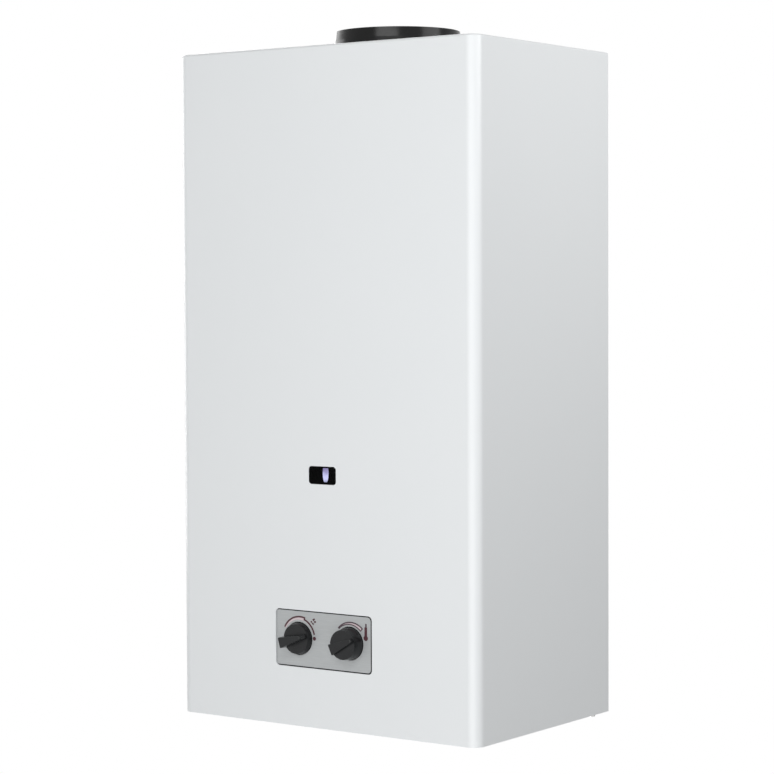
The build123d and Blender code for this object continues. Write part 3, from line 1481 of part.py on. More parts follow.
# Brass injectors, one for each burner bar
with BuildPart() as injectors:
    with BuildSketch(Plane.XZ.offset(manifold_back + manifold_wall)):
        with Locations(*[(x, level(intake_height)) for x in bar_places]):
            Circle(injector_tail_radius)
    extrude(amount=-manifold_wall)
    with BuildSketch(Plane.XZ.offset(manifold_back)):
        with Locations(*[(x, level(intake_height)) for x in bar_places]):
            RegularPolygon(injector_hex_radius, 6)
    extrude(amount=-injector_hex)
    with BuildSketch(Plane.XZ.offset(manifold_back - injector_hex)):
        with Locations(*[(x, level(intake_height)) for x in bar_places]):
            Circle(injector_tip_radius)
    extrude(amount=-injector_tip)
injectors.part.label = "injectors"
export_step(injectors.part, "parts/injectors.step")

# Pilot bracket on the manifold, with holes for the pilot, the thermocouple and the electrode
couple_x = pilot_x + pilot_spread
electrode_x = pilot_x - pilot_spread
with BuildPart() as pilot_bracket:
    with BuildSketch(Plane.XY.offset(level(manifold_roof))):
        with Locations((pilot_x, -(pilot_plate_front + frame_front) / 2)):
            Rectangle(pilot_plate_width, pilot_plate_front - frame_front)
        with Locations((pilot_x, -pilot_depth)):
            Circle(pilot_radius + pilot_fit, mode=Mode.SUBTRACT)
        with Locations((couple_x, -pilot_depth)):
            Circle(couple_radius + pilot_fit, mode=Mode.SUBTRACT)
        with Locations((electrode_x, -pilot_depth)):
            Circle(electrode_radius + pilot_fit, mode=Mode.SUBTRACT)
    extrude(amount=pilot_sheet)
    with BuildSketch(Plane.XZ.offset(frame_front)):
        with Locations((pilot_x, level(manifold_roof + pilot_tab / 2))):
            with GridLocations(pilot_plate_width - pilot_tab_width, 0, 2, 1):
                Rectangle(pilot_tab_width, pilot_tab)
    extrude(amount=pilot_sheet)
pilot_bracket.part.label = "pilot_bracket"
export_step(pilot_bracket.part, "parts/pilot_bracket.step")

# Pilot burner head
pilot_seat = manifold_roof + pilot_sheet
with BuildPart() as pilot_burner:
    with BuildSketch(Plane.XY.offset(level(pilot_foot))):
        with Locations((pilot_x, -pilot_depth)):
            Circle(pilot_radius)
    extrude(amount=pilot_seat - pilot_foot)
    with BuildSketch(Plane.XY.offset(level(pilot_seat))):
        with Locations((pilot_x, -pilot_depth)):
            Circle(pilot_head_radius)
    extrude(amount=pilot_top - pilot_seat)
    with BuildSketch(Plane.XY.offset(level(pilot_foot))):
        with Locations((pilot_x, -pilot_depth)):
            Circle(pilot_bore)
    extrude(amount=pilot_top - pilot_foot, mode=Mode.SUBTRACT)
pilot_burner.part.label = "pilot_burner"
export_step(pilot_burner.part, "parts/pilot_burner.step")

# Pilot gas pipe
pilot_middle = (valve_roof + pilot_foot) / 2
pilot_pipe = build_pipe(
    [
        (pilot_tap_x, -pilot_tap_depth, level(valve_roof)),
        (pilot_tap_x, -pilot_tap_depth, level(pilot_middle - pilot_step / 2)),
        (pilot_x, -pilot_depth, level(pilot_middle + pilot_step / 2)),
        (pilot_x, -pilot_depth, level(pilot_foot)),
    ],
    pipe_bend,
    pilot_pipe_radius,
    0,
)
pilot_pipe.part.label = "pilot_pipe"
export_step(pilot_pipe.part, "parts/pilot_pipe.step")

# Thermocouple: a rod beside the pilot flame with its copper lead to the safety magnet
lead_end = valve_back - magnet_hex - magnet_stub
couple_lead = build_pipe(
    [
        (couple_x, -pilot_depth, level(couple_foot)),
        (couple_x, -pilot_depth, level(couple_foot - lead_drop)),
        (couple_x + lead_jog, -pilot_depth, level(couple_foot - 2 * lead_drop)),
        (couple_x + lead_jog, -pilot_depth, level(lead_lane_foot)),
        (couple_x + lead_jog, -(valve_back + valve_front) / 2, level(valve_roof + pipe_bend)),
        (couple_x + lead_jog, -lead_back, level(valve_roof + pipe_bend)),
        (-knob_x, -lead_back, level(valve_roof)),
        (-knob_x, -lead_back, level(knob_height)),
        (-knob_x, -lead_end, level(knob_height)),
    ],
    [lead_bend / 2, lead_bend / 2, pipe_bend, pipe_bend, 2 * lead_bend, 2 * lead_bend, 2 * lead_bend],
    lead_radius,
    0,
)
with BuildPart() as thermocouple:
    add(couple_lead.part)
    with BuildSketch(Plane.XY.offset(level(couple_foot))):
        with Locations((couple_x, -pilot_depth)):
            Circle(couple_radius)
    extrude(amount=couple_tip - couple_foot)
    fillet(thermocouple.edges().group_by(Axis.Z)[-1], couple_radius / 2)
thermocouple.part.label = "thermocouple"
export_step(thermocouple.part, "parts/thermocouple.step")

# Ignition electrode: a ceramic rod with a bent spark wire
spark_wire = build_pipe(
    [
        (electrode_x, -pilot_depth, level(electrode_top)),
        (electrode_x, -pilot_depth, level(electrode_top + spark_rise)),
        (electrode_x + spark_reach, -pilot_depth, level(electrode_top + spark_rise - 2 * electrode_wire)),
    ],
    lead_bend / 2,
    electrode_wire,
    0,
)
with BuildPart() as ignition_electrode:
    add(spark_wire.part)
    with BuildSketch(Plane.XY.offset(level(couple_foot))):
        with Locations((electrode_x, -pilot_depth)):
            Circle(electrode_radius)
    extrude(amount=electrode_top - couple_foot)
    with BuildSketch(Plane.XY.offset(level(pilot_seat))):
        with Locations((electrode_x, -pilot_depth)):
            Circle(electrode_flange_radius)
    extrude(amount=pilot_sheet)
ignition_electrode.part.label = "ignition_electrode"
export_step(ignition_electrode.part, "parts/ignition_electrode.step")

# Ignition lead from the igniter's terminal to the electrode
terminal_x = -knob_x - barrel_radius - terminal_length
ignition_lead = build_pipe(
    [
        (terminal_x, -(gland_front + terminal_setback), level(knob_height + barrel_rise)),
        (terminal_x - lead_loop, -(gland_front + terminal_setback), level(knob_height + barrel_rise)),
        (terminal_x - lead_loop, -(gland_front + terminal_setback), level(valve_roof + pipe_bend)),
        (electrode_x - lead_jog, -pilot_depth, level(lead_lane_foot)),
        (electrode_x - lead_jog, -pilot_depth, level(couple_foot - 2 * lead_drop)),
        (electrode_x, -pilot_depth, level(couple_foot - lead_drop)),
        (electrode_x, -pilot_depth, level(couple_foot)),
    ],
    [2 * lead_bend, pipe_bend, pipe_bend, lead_bend / 2, lead_bend / 2],
    ignition_lead_radius,
    0,
)
ignition_lead.part.label = "ignition_lead"
export_step(ignition_lead.part, "parts/ignition_lead.step")

# Draught hood: a sheet box over the exchanger with a relief opening at the front
with BuildPart() as draught_hood:
    hood_middle = (hood_front + hood_back) / 2
    with BuildSketch(Plane.XY.offset(level(chamber_roof))):
        with Locations((0, -hood_middle)):
            Rectangle(hood_width, hood_front - hood_back)
    extrude(amount=hood_roof - chamber_roof)
    with BuildSketch(Plane.XY.offset(level(chamber_roof + hood_sheet))):
        with Locations((0, -hood_middle)):
            Rectangle(hood_width - 2 * hood_sheet, hood_front - hood_back - 2 * hood_sheet)
    extrude(amount=hood_roof - chamber_roof - 2 * hood_sheet, mode=Mode.SUBTRACT)
    with BuildSketch(Plane.XY.offset(level(chamber_roof))):
        with Locations((0, -chamber_middle)):
            RectangleRounded(
                chamber_width - 2 * chamber_sheet,
                chamber_front - chamber_back - 2 * chamber_sheet,
                chamber_corner - chamber_sheet,
            )
    extrude(amount=hood_sheet, mode=Mode.SUBTRACT)
    with BuildSketch(Plane.XY.offset(level(hood_roof))):
        with Locations((0, -flue_setback)):
            Circle(neck_bore_radius)
    extrude(amount=-hood_sheet, mode=Mode.SUBTRACT)
    with BuildSketch(Plane.XZ.offset(hood_front)):
        with Locations((0, level(relief_height))):
            RectangleRounded(relief_width, relief_tall, relief_radius)
    extrude(amount=-hood_sheet, mode=Mode.SUBTRACT)
draught_hood.part.label = "draught_hood"
export_step(draught_hood.part, "parts/draught_hood.step")

# Baffle plate: a shallow roof across the hood that turns the flue gas
with BuildPart() as baffle_plate:
    baffle_x = hood_width / 2 - hood_sheet - seat_clearance
    with BuildSketch(Plane.XZ.offset(baffle_back)):
        with BuildLine():
            Polyline(
                (-baffle_x, level(baffle_height - baffle_tab)),
                (-baffle_x + hood_sheet, level(baffle_height - baffle_tab)),
                (-baffle_x + hood_sheet, level(baffle_height)),
                (0, level(baffle_height + baffle_rise)),
                (baffle_x - hood_sheet, level(baffle_height)),
                (baffle_x - hood_sheet, level(baffle_height - baffle_tab)),
                (baffle_x, level(baffle_height - baffle_tab)),
                (baffle_x, level(baffle_height + hood_sheet)),
                (0, level(baffle_height + baffle_rise + hood_sheet)),
                (-baffle_x, level(baffle_height + hood_sheet)),
                close=True,
            )
        make_face()
    extrude(amount=baffle_front - baffle_back)
baffle_plate.part.label = "baffle_plate"
export_step(baffle_plate.part, "parts/baffle_plate.step")

# Flue collar: a neck through the notch in the cover's top, a sized spigot and a tapered mouth
with BuildPart() as flue_collar:
    spigot_foot = level(casing_height + collar_stand)
    mouth_foot = level(casing_height + collar_rise - collar_taper_rise)
    mouth_top = level(casing_height + collar_rise)
    with BuildSketch(Plane.XZ.offset(flue_setback)):
        with BuildLine():
            Polyline(
                (neck_bore_radius, level(hood_roof)),
                (neck_radius + collar_flange, level(hood_roof)),
                (neck_radius + collar_flange, level(hood_roof + collar_flange_sheet)),
                (neck_radius, level(hood_roof + collar_flange_sheet)),
                (neck_radius, spigot_foot),
                (flue_radius, spigot_foot),
                (flue_radius, mouth_foot),
                (flue_radius - collar_taper, mouth_top),
                (flue_radius - collar_taper - collar_wall, mouth_top),
                (flue_radius - collar_wall, mouth_foot),
                (flue_radius - collar_wall, spigot_foot + collar_wall),
                (neck_bore_radius, spigot_foot + collar_wall),
                close=True,
            )
        make_face()
    revolve(axis=Axis((0, -flue_setback, 0), (0, 0, 1)))
flue_collar.part.label = "flue_collar"
export_step(flue_collar.part, "parts/flue_collar.step")


# Hat-shaped bracket from the back plate forward to a given depth
def build_bracket(height, tall, reach):
    with BuildPart() as bracket:
        with BuildSketch(Plane.XY.offset(level(height))):
            with Locations((0, -(tray_sheet + reach) / 2)):
                Rectangle(2 * strut_half_width, reach - tray_sheet)
            with Locations((0, -(tray_sheet + reach - bracket_sheet) / 2)):
                Rectangle(
                    2 * (strut_half_width - bracket_sheet),
                    reach - tray_sheet - bracket_sheet,
                    mode=Mode.SUBTRACT,
                )
            with Locations((0, -tray_sheet - bracket_sheet / 2)):
                with GridLocations(2 * strut_half_width + strut_foot, 0, 2, 1):
                    Rectangle(strut_foot, bracket_sheet)
        extrude(amount=tall)
    return bracket


chamber_bracket = build_bracket(chamber_bracket_height, chamber_bracket_tall, chamber_back)
chamber_bracket.part.label = "chamber_bracket"
export_step(chamber_bracket.part, "parts/chamber_bracket.step")

hood_bracket = build_bracket(hood_bracket_height, hood_bracket_tall, hood_back)
hood_bracket.part.label = "hood_bracket"
export_step(hood_bracket.part, "parts/hood_bracket.step")
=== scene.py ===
import json
import math

import bmesh
import bpy
from mathutils import Matrix, Quaternion, Vector


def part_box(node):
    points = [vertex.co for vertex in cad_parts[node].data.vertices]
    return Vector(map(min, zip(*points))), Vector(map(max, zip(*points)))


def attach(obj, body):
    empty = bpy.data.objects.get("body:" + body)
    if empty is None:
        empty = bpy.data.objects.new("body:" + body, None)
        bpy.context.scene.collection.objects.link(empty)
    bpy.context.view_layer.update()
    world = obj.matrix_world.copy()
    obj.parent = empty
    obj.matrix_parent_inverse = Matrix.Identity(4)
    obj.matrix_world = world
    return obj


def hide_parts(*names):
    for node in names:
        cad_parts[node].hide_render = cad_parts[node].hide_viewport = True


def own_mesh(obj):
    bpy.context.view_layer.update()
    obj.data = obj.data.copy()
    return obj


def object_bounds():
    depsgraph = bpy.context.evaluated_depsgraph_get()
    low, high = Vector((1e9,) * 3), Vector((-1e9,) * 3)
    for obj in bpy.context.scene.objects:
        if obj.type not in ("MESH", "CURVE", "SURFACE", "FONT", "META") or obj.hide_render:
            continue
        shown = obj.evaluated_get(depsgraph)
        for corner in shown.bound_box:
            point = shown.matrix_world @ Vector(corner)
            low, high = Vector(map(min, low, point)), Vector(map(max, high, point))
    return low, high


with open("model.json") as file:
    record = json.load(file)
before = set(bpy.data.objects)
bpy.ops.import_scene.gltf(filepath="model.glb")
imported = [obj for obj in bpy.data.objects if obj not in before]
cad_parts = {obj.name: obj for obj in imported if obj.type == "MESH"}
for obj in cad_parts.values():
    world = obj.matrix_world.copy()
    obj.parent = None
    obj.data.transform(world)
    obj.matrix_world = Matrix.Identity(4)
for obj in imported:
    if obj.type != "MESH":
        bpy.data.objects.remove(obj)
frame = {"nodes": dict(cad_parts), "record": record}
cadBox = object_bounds()
scene = bpy.context.scene
scene.view_settings.view_transform = "Standard"
print("frame loaded:", len(frame["nodes"]), "nodes")

mm = 0.001
hangHeight = 550.0  # hanging holes above the casing's bottom edge, as in the CAD


# a place in the frame, from millimetres off the wall and above the casing's bottom edge
def spot(x, depth, height):
    return Vector((x * mm, -depth * mm, (height - hangHeight) * mm))


# camera at the photograph's viewing angle
camera = {
    "place": (1.2575, -1.8797, -0.1647),
    "target": (0.0693, -0.2160, -0.2510),
    "roll": -0.259,
    "lens": 112.33,
    "sensor": 36.0,
    "reach": 50.0,
}


def addCamera(values):
    data = bpy.data.cameras.new("viewCamera")
    data.lens = values["lens"]
    data.sensor_width = values["sensor"]
    data.sensor_fit = "HORIZONTAL"
    data.clip_end = values["reach"]
    body = bpy.data.objects.new("viewCamera", data)
    scene.collection.objects.link(body)
    place = Vector(values["place"])
    look = Vector(values["target"]) - place
    turn = look.to_track_quat("-Z", "Y")
    roll = Quaternion((0, 0, 1), math.radians(values["roll"]))
    body.matrix_world = Matrix.Translation(place) @ (turn @ roll).to_matrix().to_4x4()
    scene.camera = body


addCamera(camera)

# soft studio light, pale floor under the hung heater, white behind it
white = (1, 1, 1, 1)
studio = {
    "ambient": 0.11,
    "background": 1.0,
    "aim": (0, -0.12, -0.25),
    "level": cadBox[0][2] - 0.75,
    "floorSize": 2.4,
    "floorColour": (0.78, 0.78, 0.78, 1),
    "floorRough": 0.9,
    "floorCentre": (0.0, -0.1),
    "fadeStart": 0.15,
    "fadeEnd": 1.05,
}
lamps = [
    {"name": "keyPanel", "place": (0.65, -1.75, -0.50), "wide": 1.7, "tall": 1.6, "power": 19.8},
    {"name": "sidePanel", "place": (0.92, 0.05, 0.30), "wide": 0.6, "tall": 0.5, "power": 4.6},
    {"name": "topPanel", "place": (0.40, -1.55, 0.62), "wide": 1.1, "tall": 0.4, "power": 9.3},
    {"name": "leftPanel", "place": (-1.75, 0.0, -0.1), "wide": 1.0, "tall": 1.0, "power": 8.0},
    {"name": "backPanel", "place": (-1.5, 1.2, 0.4), "wide": 1.2, "tall": 1.2, "power": 12.0},
]


# one for rays that show the background: straight, mirrored or through glass
def seenRay(nodes, links):
    path = nodes.new("ShaderNodeLightPath")
    straight = nodes.new("ShaderNodeMath")
    straight.operation = "MAXIMUM"
    links.new(path.outputs["Is Camera Ray"], straight.inputs[0])
    links.new(path.outputs["Is Transmission Ray"], straight.inputs[1])
    every = nodes.new("ShaderNodeMath")
    every.operation = "MAXIMUM"
    links.new(straight.outputs[0], every.inputs[0])
    links.new(path.outputs["Is Glossy Ray"], every.inputs[1])
    return every.outputs[0]


# paint that keeps the shadow under the heater and fades to the white background
def fadingFloor(values):
    paint = bpy.data.materials.new("floorPaint")
    paint.use_nodes = True
    nodes = paint.node_tree.nodes
    links = paint.node_tree.links
    shader = nodes["Principled BSDF"]
    shader.inputs["Base Color"].default_value = values["floorColour"]
    shader.inputs["Roughness"].default_value = values["floorRough"]
    where = nodes.new("ShaderNodeTexCoord")
    far = nodes.new("ShaderNodeVectorMath")
    far.operation = "DISTANCE"
    far.inputs[1].default_value = (*values["floorCentre"], values["level"])
    links.new(where.outputs["Object"], far.inputs[0])
    fade = nodes.new("ShaderNodeMapRange")
    fade.interpolation_type = "SMOOTHSTEP"
    fade.inputs["From Min"].default_value = values["fadeStart"]
    fade.inputs["From Max"].default_value = values["fadeEnd"]
    links.new(far.outputs["Value"], fade.inputs["Value"])
    seen = nodes.new("ShaderNodeMath")
    seen.operation = "MULTIPLY"
    links.new(fade.outputs["Result"], seen.inputs[0])
    links.new(seenRay(nodes, links), seen.inputs[1])
    glow = nodes.new("ShaderNodeEmission")
    glow.inputs["Color"].default_value = white
    glow.inputs["Strength"].default_value = values["background"]
    mix = nodes.new("ShaderNodeMixShader")
    links.new(seen.outputs[0], mix.inputs["Fac"])
    links.new(shader.outputs[0], mix.inputs[1])
    links.new(glow.outputs[0], mix.inputs[2])
    links.new(mix.outputs[0], nodes["Material Output"].inputs["Surface"])
    return paint


# dim ambient light on the heater, plain white where the background itself is seen
def addWorld(values):
    world = bpy.data.worlds.new("studioWorld")
    scene.world = world
    world.use_nodes = True
    nodes = world.node_tree.nodes
    links = world.node_tree.links
    nodes.clear()
    out = nodes.new("ShaderNodeOutputWorld")
    mix = nodes.new("ShaderNodeMixShader")
    links.new(seenRay(nodes, links), mix.inputs["Fac"])
    for side, strength in ((1, values["ambient"]), (2, values["background"])):
        sky = nodes.new("ShaderNodeBackground")
        sky.inputs["Color"].default_value = white
        sky.inputs["Strength"].default_value = strength
        links.new(sky.outputs[0], mix.inputs[side])
    links.new(mix.outputs[0], out.inputs["Surface"])


def addLamp(lamp, target):
    light = bpy.data.lights.new(lamp["name"], "AREA")
    light.shape = "RECTANGLE"
    light.size = lamp["wide"]
    light.size_y = lamp["tall"]
    light.energy = lamp["power"]
    holder = bpy.data.objects.new(lamp["name"], light)
    scene.collection.objects.link(holder)
    holder.visible_camera = False
    place = Vector(lamp["place"])
    aim = (Vector(target) - place).to_track_quat("-Z", "Y")
    holder.matrix_world = Matrix.Translation(place) @ aim.to_matrix().to_4x4()


def addFloor(values):
    half = values["floorSize"] / 2
    level = values["level"]
    mesh = bpy.data.meshes.new("floor")
    corners = [(-half, -half, level), (half, -half, level), (half, half, level), (-half, half, level)]
    mesh.from_pydata(corners, [], [(0, 1, 2, 3)])
    floor = bpy.data.objects.new("floor", mesh)
    scene.collection.objects.link(floor)
    mesh.materials.append(fadingFloor(values))


addWorld(studio)
for lamp in lamps:
    addLamp(lamp, studio["aim"])
addFloor(studio)
print("camera and studio ready")


# finishes: each is a procedural surface on object coordinates
def startFinish(name):
    finish = bpy.data.materials.new(name)
    finish.use_nodes = True
    nodes = finish.node_tree.nodes
    shader = nodes["Principled BSDF"]
    where = nodes.new("ShaderNodeTexCoord")
    return finish, nodes, finish.node_tree.links, shader, where.outputs["Object"]


def stretched(nodes, links, coords, scale):
    mapping = nodes.new("ShaderNodeMapping")
    mapping.inputs["Scale"].default_value = scale
    links.new(coords, mapping.inputs["Vector"])
    return mapping.outputs["Vector"]


def cloud(nodes, links, coords, scale, detail=3.0, rough=0.55):
    noise = nodes.new("ShaderNodeTexNoise")
    noise.inputs["Scale"].default_value = scale
    noise.inputs["Detail"].default_value = detail
    noise.inputs["Roughness"].default_value = rough
    links.new(coords, noise.inputs["Vector"])
    return noise.outputs["Fac"]


def spread(nodes, links, value, low, high, start=0.3, end=0.7):
    ranger = nodes.new("ShaderNodeMapRange")
    ranger.inputs["From Min"].default_value = start
    ranger.inputs["From Max"].default_value = end
    ranger.inputs["To Min"].default_value = low
    ranger.inputs["To Max"].default_value = high
    links.new(value, ranger.inputs["Value"])
    return ranger.outputs["Result"]


def ramp(nodes, links, value, stops):
    colours = nodes.new("ShaderNodeValToRGB")
    marks = colours.color_ramp.elements
    for mark, (place, colour) in zip(marks, (stops[0], stops[-1])):
        mark.position = place
        mark.color = (*colour, 1)
    for place, colour in stops[1:-1]:
        mark = marks.new(place)
        mark.color = (*colour, 1)
    links.new(value, colours.inputs["Fac"])
    return colours.outputs["Color"]


def raised(nodes, links, height, shader, look):
    bump = nodes.new("ShaderNodeBump")
    bump.inputs["Strength"].default_value = look["relief"]
    bump.inputs["Distance"].default_value = look["reliefDepth"]
    links.new(height, bump.inputs["Height"])
    links.new(bump.outputs["Normal"], shader.inputs["Normal"])


# a spread of roughness and a fine relief
def worn(nodes, links, grain, shader, look):
    wear = cloud(nodes, links, grain, look["roughScale"], look["roughDetail"])
    links.new(spread(nodes, links, wear, *look["rough"]), shader.inputs["Roughness"])
    relief = cloud(nodes, links, grain, look["reliefScale"], look["reliefDetail"])
    raised(nodes, links, relief, shader, look)


# height between two levels as a share, shaken a little so that bands aren't straight
def shakenRise(nodes, links, coords, look, low, high):
    split = nodes.new("ShaderNodeSeparateXYZ")
    links.new(coords, split.inputs["Vector"])
    rise = spread(nodes, links, split.outputs["Z"], 0.0, 1.0, low, high)
    noise = cloud(nodes, links, coords, look["shakeScale"])
    shake = spread(nodes, links, noise, -look["shake"], look["shake"])
    total = nodes.new("ShaderNodeMath")
    total.operation = "ADD"
    links.new(rise, total.inputs[0])
    links.new(shake, total.inputs[1])
    return total.outputs[0]


# what a cloudy surface has unless its own values say otherwise
plainLook = {
    "metal": 0.0, "shine": 0.5, "toneEnds": (0.3, 0.7), "roughDetail": 4.0, "reliefDetail": 2.0,
    "reliefDepth": 0.0004,
}


# one cloudy surface: two tones, a spread of roughness and a fine relief
def cloudyFinish(name, values):
    look = {**plainLook, **values}
    finish, nodes, links, shader, coords = startFinish(name)
    shader.inputs["Metallic"].default_value = look["metal"]
    shader.inputs["Specular IOR Level"].default_value = look["shine"]
    if "coat" in look:
        shader.inputs["Coat Weight"].default_value = look["coat"]
        shader.inputs["Coat Roughness"].default_value = look["coatRough"]
    grain = coords
    if "stretch" in look:
        grain = stretched(nodes, links, coords, look["stretch"])
    tone = cloud(nodes, links, grain, look["toneScale"])
    start, end = look["toneEnds"]
    colours = ramp(nodes, links, tone, [(start, look["dark"]), (end, look["pale"])])
    links.new(colours, shader.inputs["Base Color"])
    worn(nodes, links, grain, shader, look)
    return finish


enamelWhite = {
    "dark": (0.797, 0.819, 0.831), "pale": (0.805, 0.826, 0.837), "toneScale": 5.0,
    "rough": (0.315, 0.345), "roughScale": 40.0, "relief": 0.05, "reliefScale": 900.0,
    "reliefDepth": 0.0002, "coat": 0.15, "coatRough": 0.22, "shine": 0.42,
}
collarEnamel = {
    "dark": (0.006, 0.006, 0.006), "pale": (0.012, 0.012, 0.012), "toneScale": 40.0,
    "rough": (0.17, 0.24), "roughScale": 90.0, "relief": 0.03, "reliefScale": 700.0,
    "shine": 0.16,
}
fasciaSilver = {
    "dark": (0.40, 0.415, 0.42), "pale": (0.44, 0.455, 0.46), "toneScale": 90.0, "metal": 0.35,
    "stretch": (1.0, 1.0, 18.0), "rough": (0.38, 0.50), "roughScale": 160.0, "relief": 0.08,
    "reliefScale": 500.0, "reliefDepth": 0.0002,
}
knobPlastic = {
    "dark": (0.0055, 0.0062, 0.007), "pale": (0.010, 0.011, 0.012), "toneScale": 120.0,
    "rough": (0.20, 0.28), "roughScale": 240.0, "relief": 0.14, "reliefScale": 2600.0,
    "reliefDepth": 0.0002, "shine": 0.34,
}
# near-black: the window's bezel in its own black plastic, and the shield behind the window, whose black is
# painted shade for the inside of the chamber
windowBlackAndShade = {
    "dark": (0.004, 0.004, 0.004), "pale": (0.008, 0.008, 0.009), "toneScale": 150.0,
    "rough": (0.35, 0.5), "roughScale": 200.0, "relief": 0.08, "reliefScale": 1500.0, "shine": 0.12,
}
zincPlate = {
    "dark": (0.52, 0.53, 0.53), "pale": (0.68, 0.68, 0.66), "toneScale": 380.0, "metal": 0.9,
    "rough": (0.25, 0.38), "roughScale": 300.0, "relief": 0.10, "reliefScale": 900.0,
}
brightSteel = {
    "dark": (0.50, 0.50, 0.51), "pale": (0.62, 0.62, 0.63), "toneScale": 220.0, "metal": 1.0,
    "stretch": (1.0, 12.0, 1.0), "rough": (0.18, 0.30), "roughScale": 260.0, "relief": 0.06,
    "reliefScale": 700.0,
}
springSteel = {
    "dark": (0.30, 0.30, 0.31), "pale": (0.42, 0.42, 0.43), "toneScale": 300.0, "metal": 1.0,
    "rough": (0.28, 0.40), "roughScale": 400.0, "relief": 0.05, "reliefScale": 1200.0,
}
turnedBrass = {
    "dark": (0.56, 0.38, 0.13), "pale": (0.72, 0.52, 0.22), "toneScale": 110.0, "metal": 1.0,
    "stretch": (1.0, 1.0, 6.0), "rough": (0.24, 0.40), "roughScale": 160.0, "relief": 0.06,
    "reliefScale": 900.0,
}
castAluminium = {
    "dark": (0.46, 0.47, 0.48), "pale": (0.60, 0.61, 0.62), "toneScale": 60.0, "metal": 0.85,
    "rough": (0.48, 0.64), "roughScale": 200.0, "relief": 0.35, "reliefScale": 900.0,
}
castBrass = {
    "dark": (0.44, 0.28, 0.09), "pale": (0.63, 0.45, 0.19), "toneScale": 55.0, "metal": 0.95,
    "rough": (0.42, 0.58), "roughScale": 180.0, "relief": 0.35, "reliefScale": 850.0,
}
blackRubber = {
    "dark": (0.012, 0.012, 0.012), "pale": (0.03, 0.03, 0.03), "toneScale": 200.0,
    "rough": (0.6, 0.8), "roughScale": 300.0, "relief": 0.12, "reliefScale": 1200.0,
}
gasPipeMetal = {
    "dark": (0.58, 0.58, 0.59), "pale": (0.70, 0.70, 0.70), "toneScale": 90.0, "metal": 1.0,
    "rough": (0.30, 0.45), "roughScale": 150.0, "relief": 0.07, "reliefScale": 600.0,
}
electrodeGlaze = {
    "dark": (0.74, 0.72, 0.67), "pale": (0.84, 0.82, 0.77), "toneScale": 160.0,
    "rough": (0.18, 0.30), "roughScale": 300.0, "relief": 0.04, "reliefScale": 900.0,
}

# galvanised sheet: crystal patches with their own tone and sheen
galvanised = {
    "metal": 0.9, "patchScale": 95.0, "scatter": 1.0,
    "tones": [(0.0, (0.46, 0.48, 0.49)), (0.5, (0.55, 0.57, 0.58)), (1.0, (0.64, 0.655, 0.66))],
    "rough": (0.34, 0.52), "relief": 0.08, "reliefScale": 420.0, "reliefDepth": 0.0004,
}


def spangledZinc(name, look):
    finish, nodes, links, shader, coords = startFinish(name)
    shader.inputs["Metallic"].default_value = look["metal"]
    patches = nodes.new("ShaderNodeTexVoronoi")
    patches.inputs["Scale"].default_value = look["patchScale"]
    patches.inputs["Randomness"].default_value = look["scatter"]
    links.new(coords, patches.inputs["Vector"])
    split = nodes.new("ShaderNodeSeparateColor")
    links.new(patches.outputs["Color"], split.inputs["Color"])
    links.new(ramp(nodes, links, split.outputs["Red"], look["tones"]), shader.inputs["Base Color"])
    sheen = spread(nodes, links, split.outputs["Green"], *look["rough"], 0.0, 1.0)
    links.new(sheen, shader.inputs["Roughness"])
    raised(nodes, links, cloud(nodes, links, coords, look["reliefScale"]), shader, look)
    return finish


# copper with the browns and violets that heat leaves
heatedCopper = {
    "metal": 1.0, "patchScale": 16.0, "patchDetail": 5.0, "patchRough": 0.6,
    "tones": [
        (0.25, (0.36, 0.15, 0.09)), (0.45, (0.62, 0.30, 0.17)),
        (0.6, (0.72, 0.38, 0.24)), (0.8, (0.52, 0.26, 0.21)),
    ],
    "rough": (0.24, 0.44), "roughScale": 70.0, "roughDetail": 4.0,
    "relief": 0.08, "reliefScale": 300.0, "reliefDetail": 3.0, "reliefDepth": 0.0004,
}


def heatTintedCopper(name, look):
    finish, nodes, links, shader, coords = startFinish(name)
    shader.inputs["Metallic"].default_value = look["metal"]
    patch = cloud(nodes, links, coords, look["patchScale"], look["patchDetail"], look["patchRough"])
    links.new(ramp(nodes, links, patch, look["tones"]), shader.inputs["Base Color"])
    worn(nodes, links, coords, shader, look)
    return finish


# stainless burner with straw and blue heat bands near its ports
burnerSteel = {
    "metal": 1.0, "shake": 0.12, "shakeScale": 60.0,
    "tones": [
        (0.0, (0.40, 0.40, 0.41)), (0.45, (0.44, 0.40, 0.34)), (0.65, (0.34, 0.25, 0.17)),
        (0.82, (0.16, 0.15, 0.22)), (1.0, (0.10, 0.11, 0.14)),
    ],
    "rough": (0.30, 0.50), "roughScale": 120.0, "roughDetail": 4.0,
    "relief": 0.07, "reliefScale": 500.0, "reliefDetail": 3.0, "reliefDepth": 0.0004,
}


def heatBandedSteel(name, look, low, high):
    finish, nodes, links, shader, coords = startFinish(name)
    shader.inputs["Metallic"].default_value = look["metal"]
    rise = shakenRise(nodes, links, coords, look, low, high)
    links.new(ramp(nodes, links, rise, look["tones"]), shader.inputs["Base Color"])
    worn(nodes, links, coords, shader, look)
    return finish


# heat-proof glass with a near-black tint: painted shade that dims the view into the chamber
paneGlass = {"tint": (0.022, 0.022, 0.026, 1), "index": 1.12, "rough": (0.01, 0.04), "hazeScale": 400.0}


def shadeTintedGlass(name, look):
    finish, nodes, links, shader, coords = startFinish(name)
    shader.inputs["Base Color"].default_value = look["tint"]
    shader.inputs["Transmission Weight"].default_value = 1.0
    shader.inputs["IOR"].default_value = look["index"]
    haze = cloud(nodes, links, coords, look["hazeScale"])
    links.new(spread(nodes, links, haze, *look["rough"]), shader.inputs["Roughness"])
    return finish


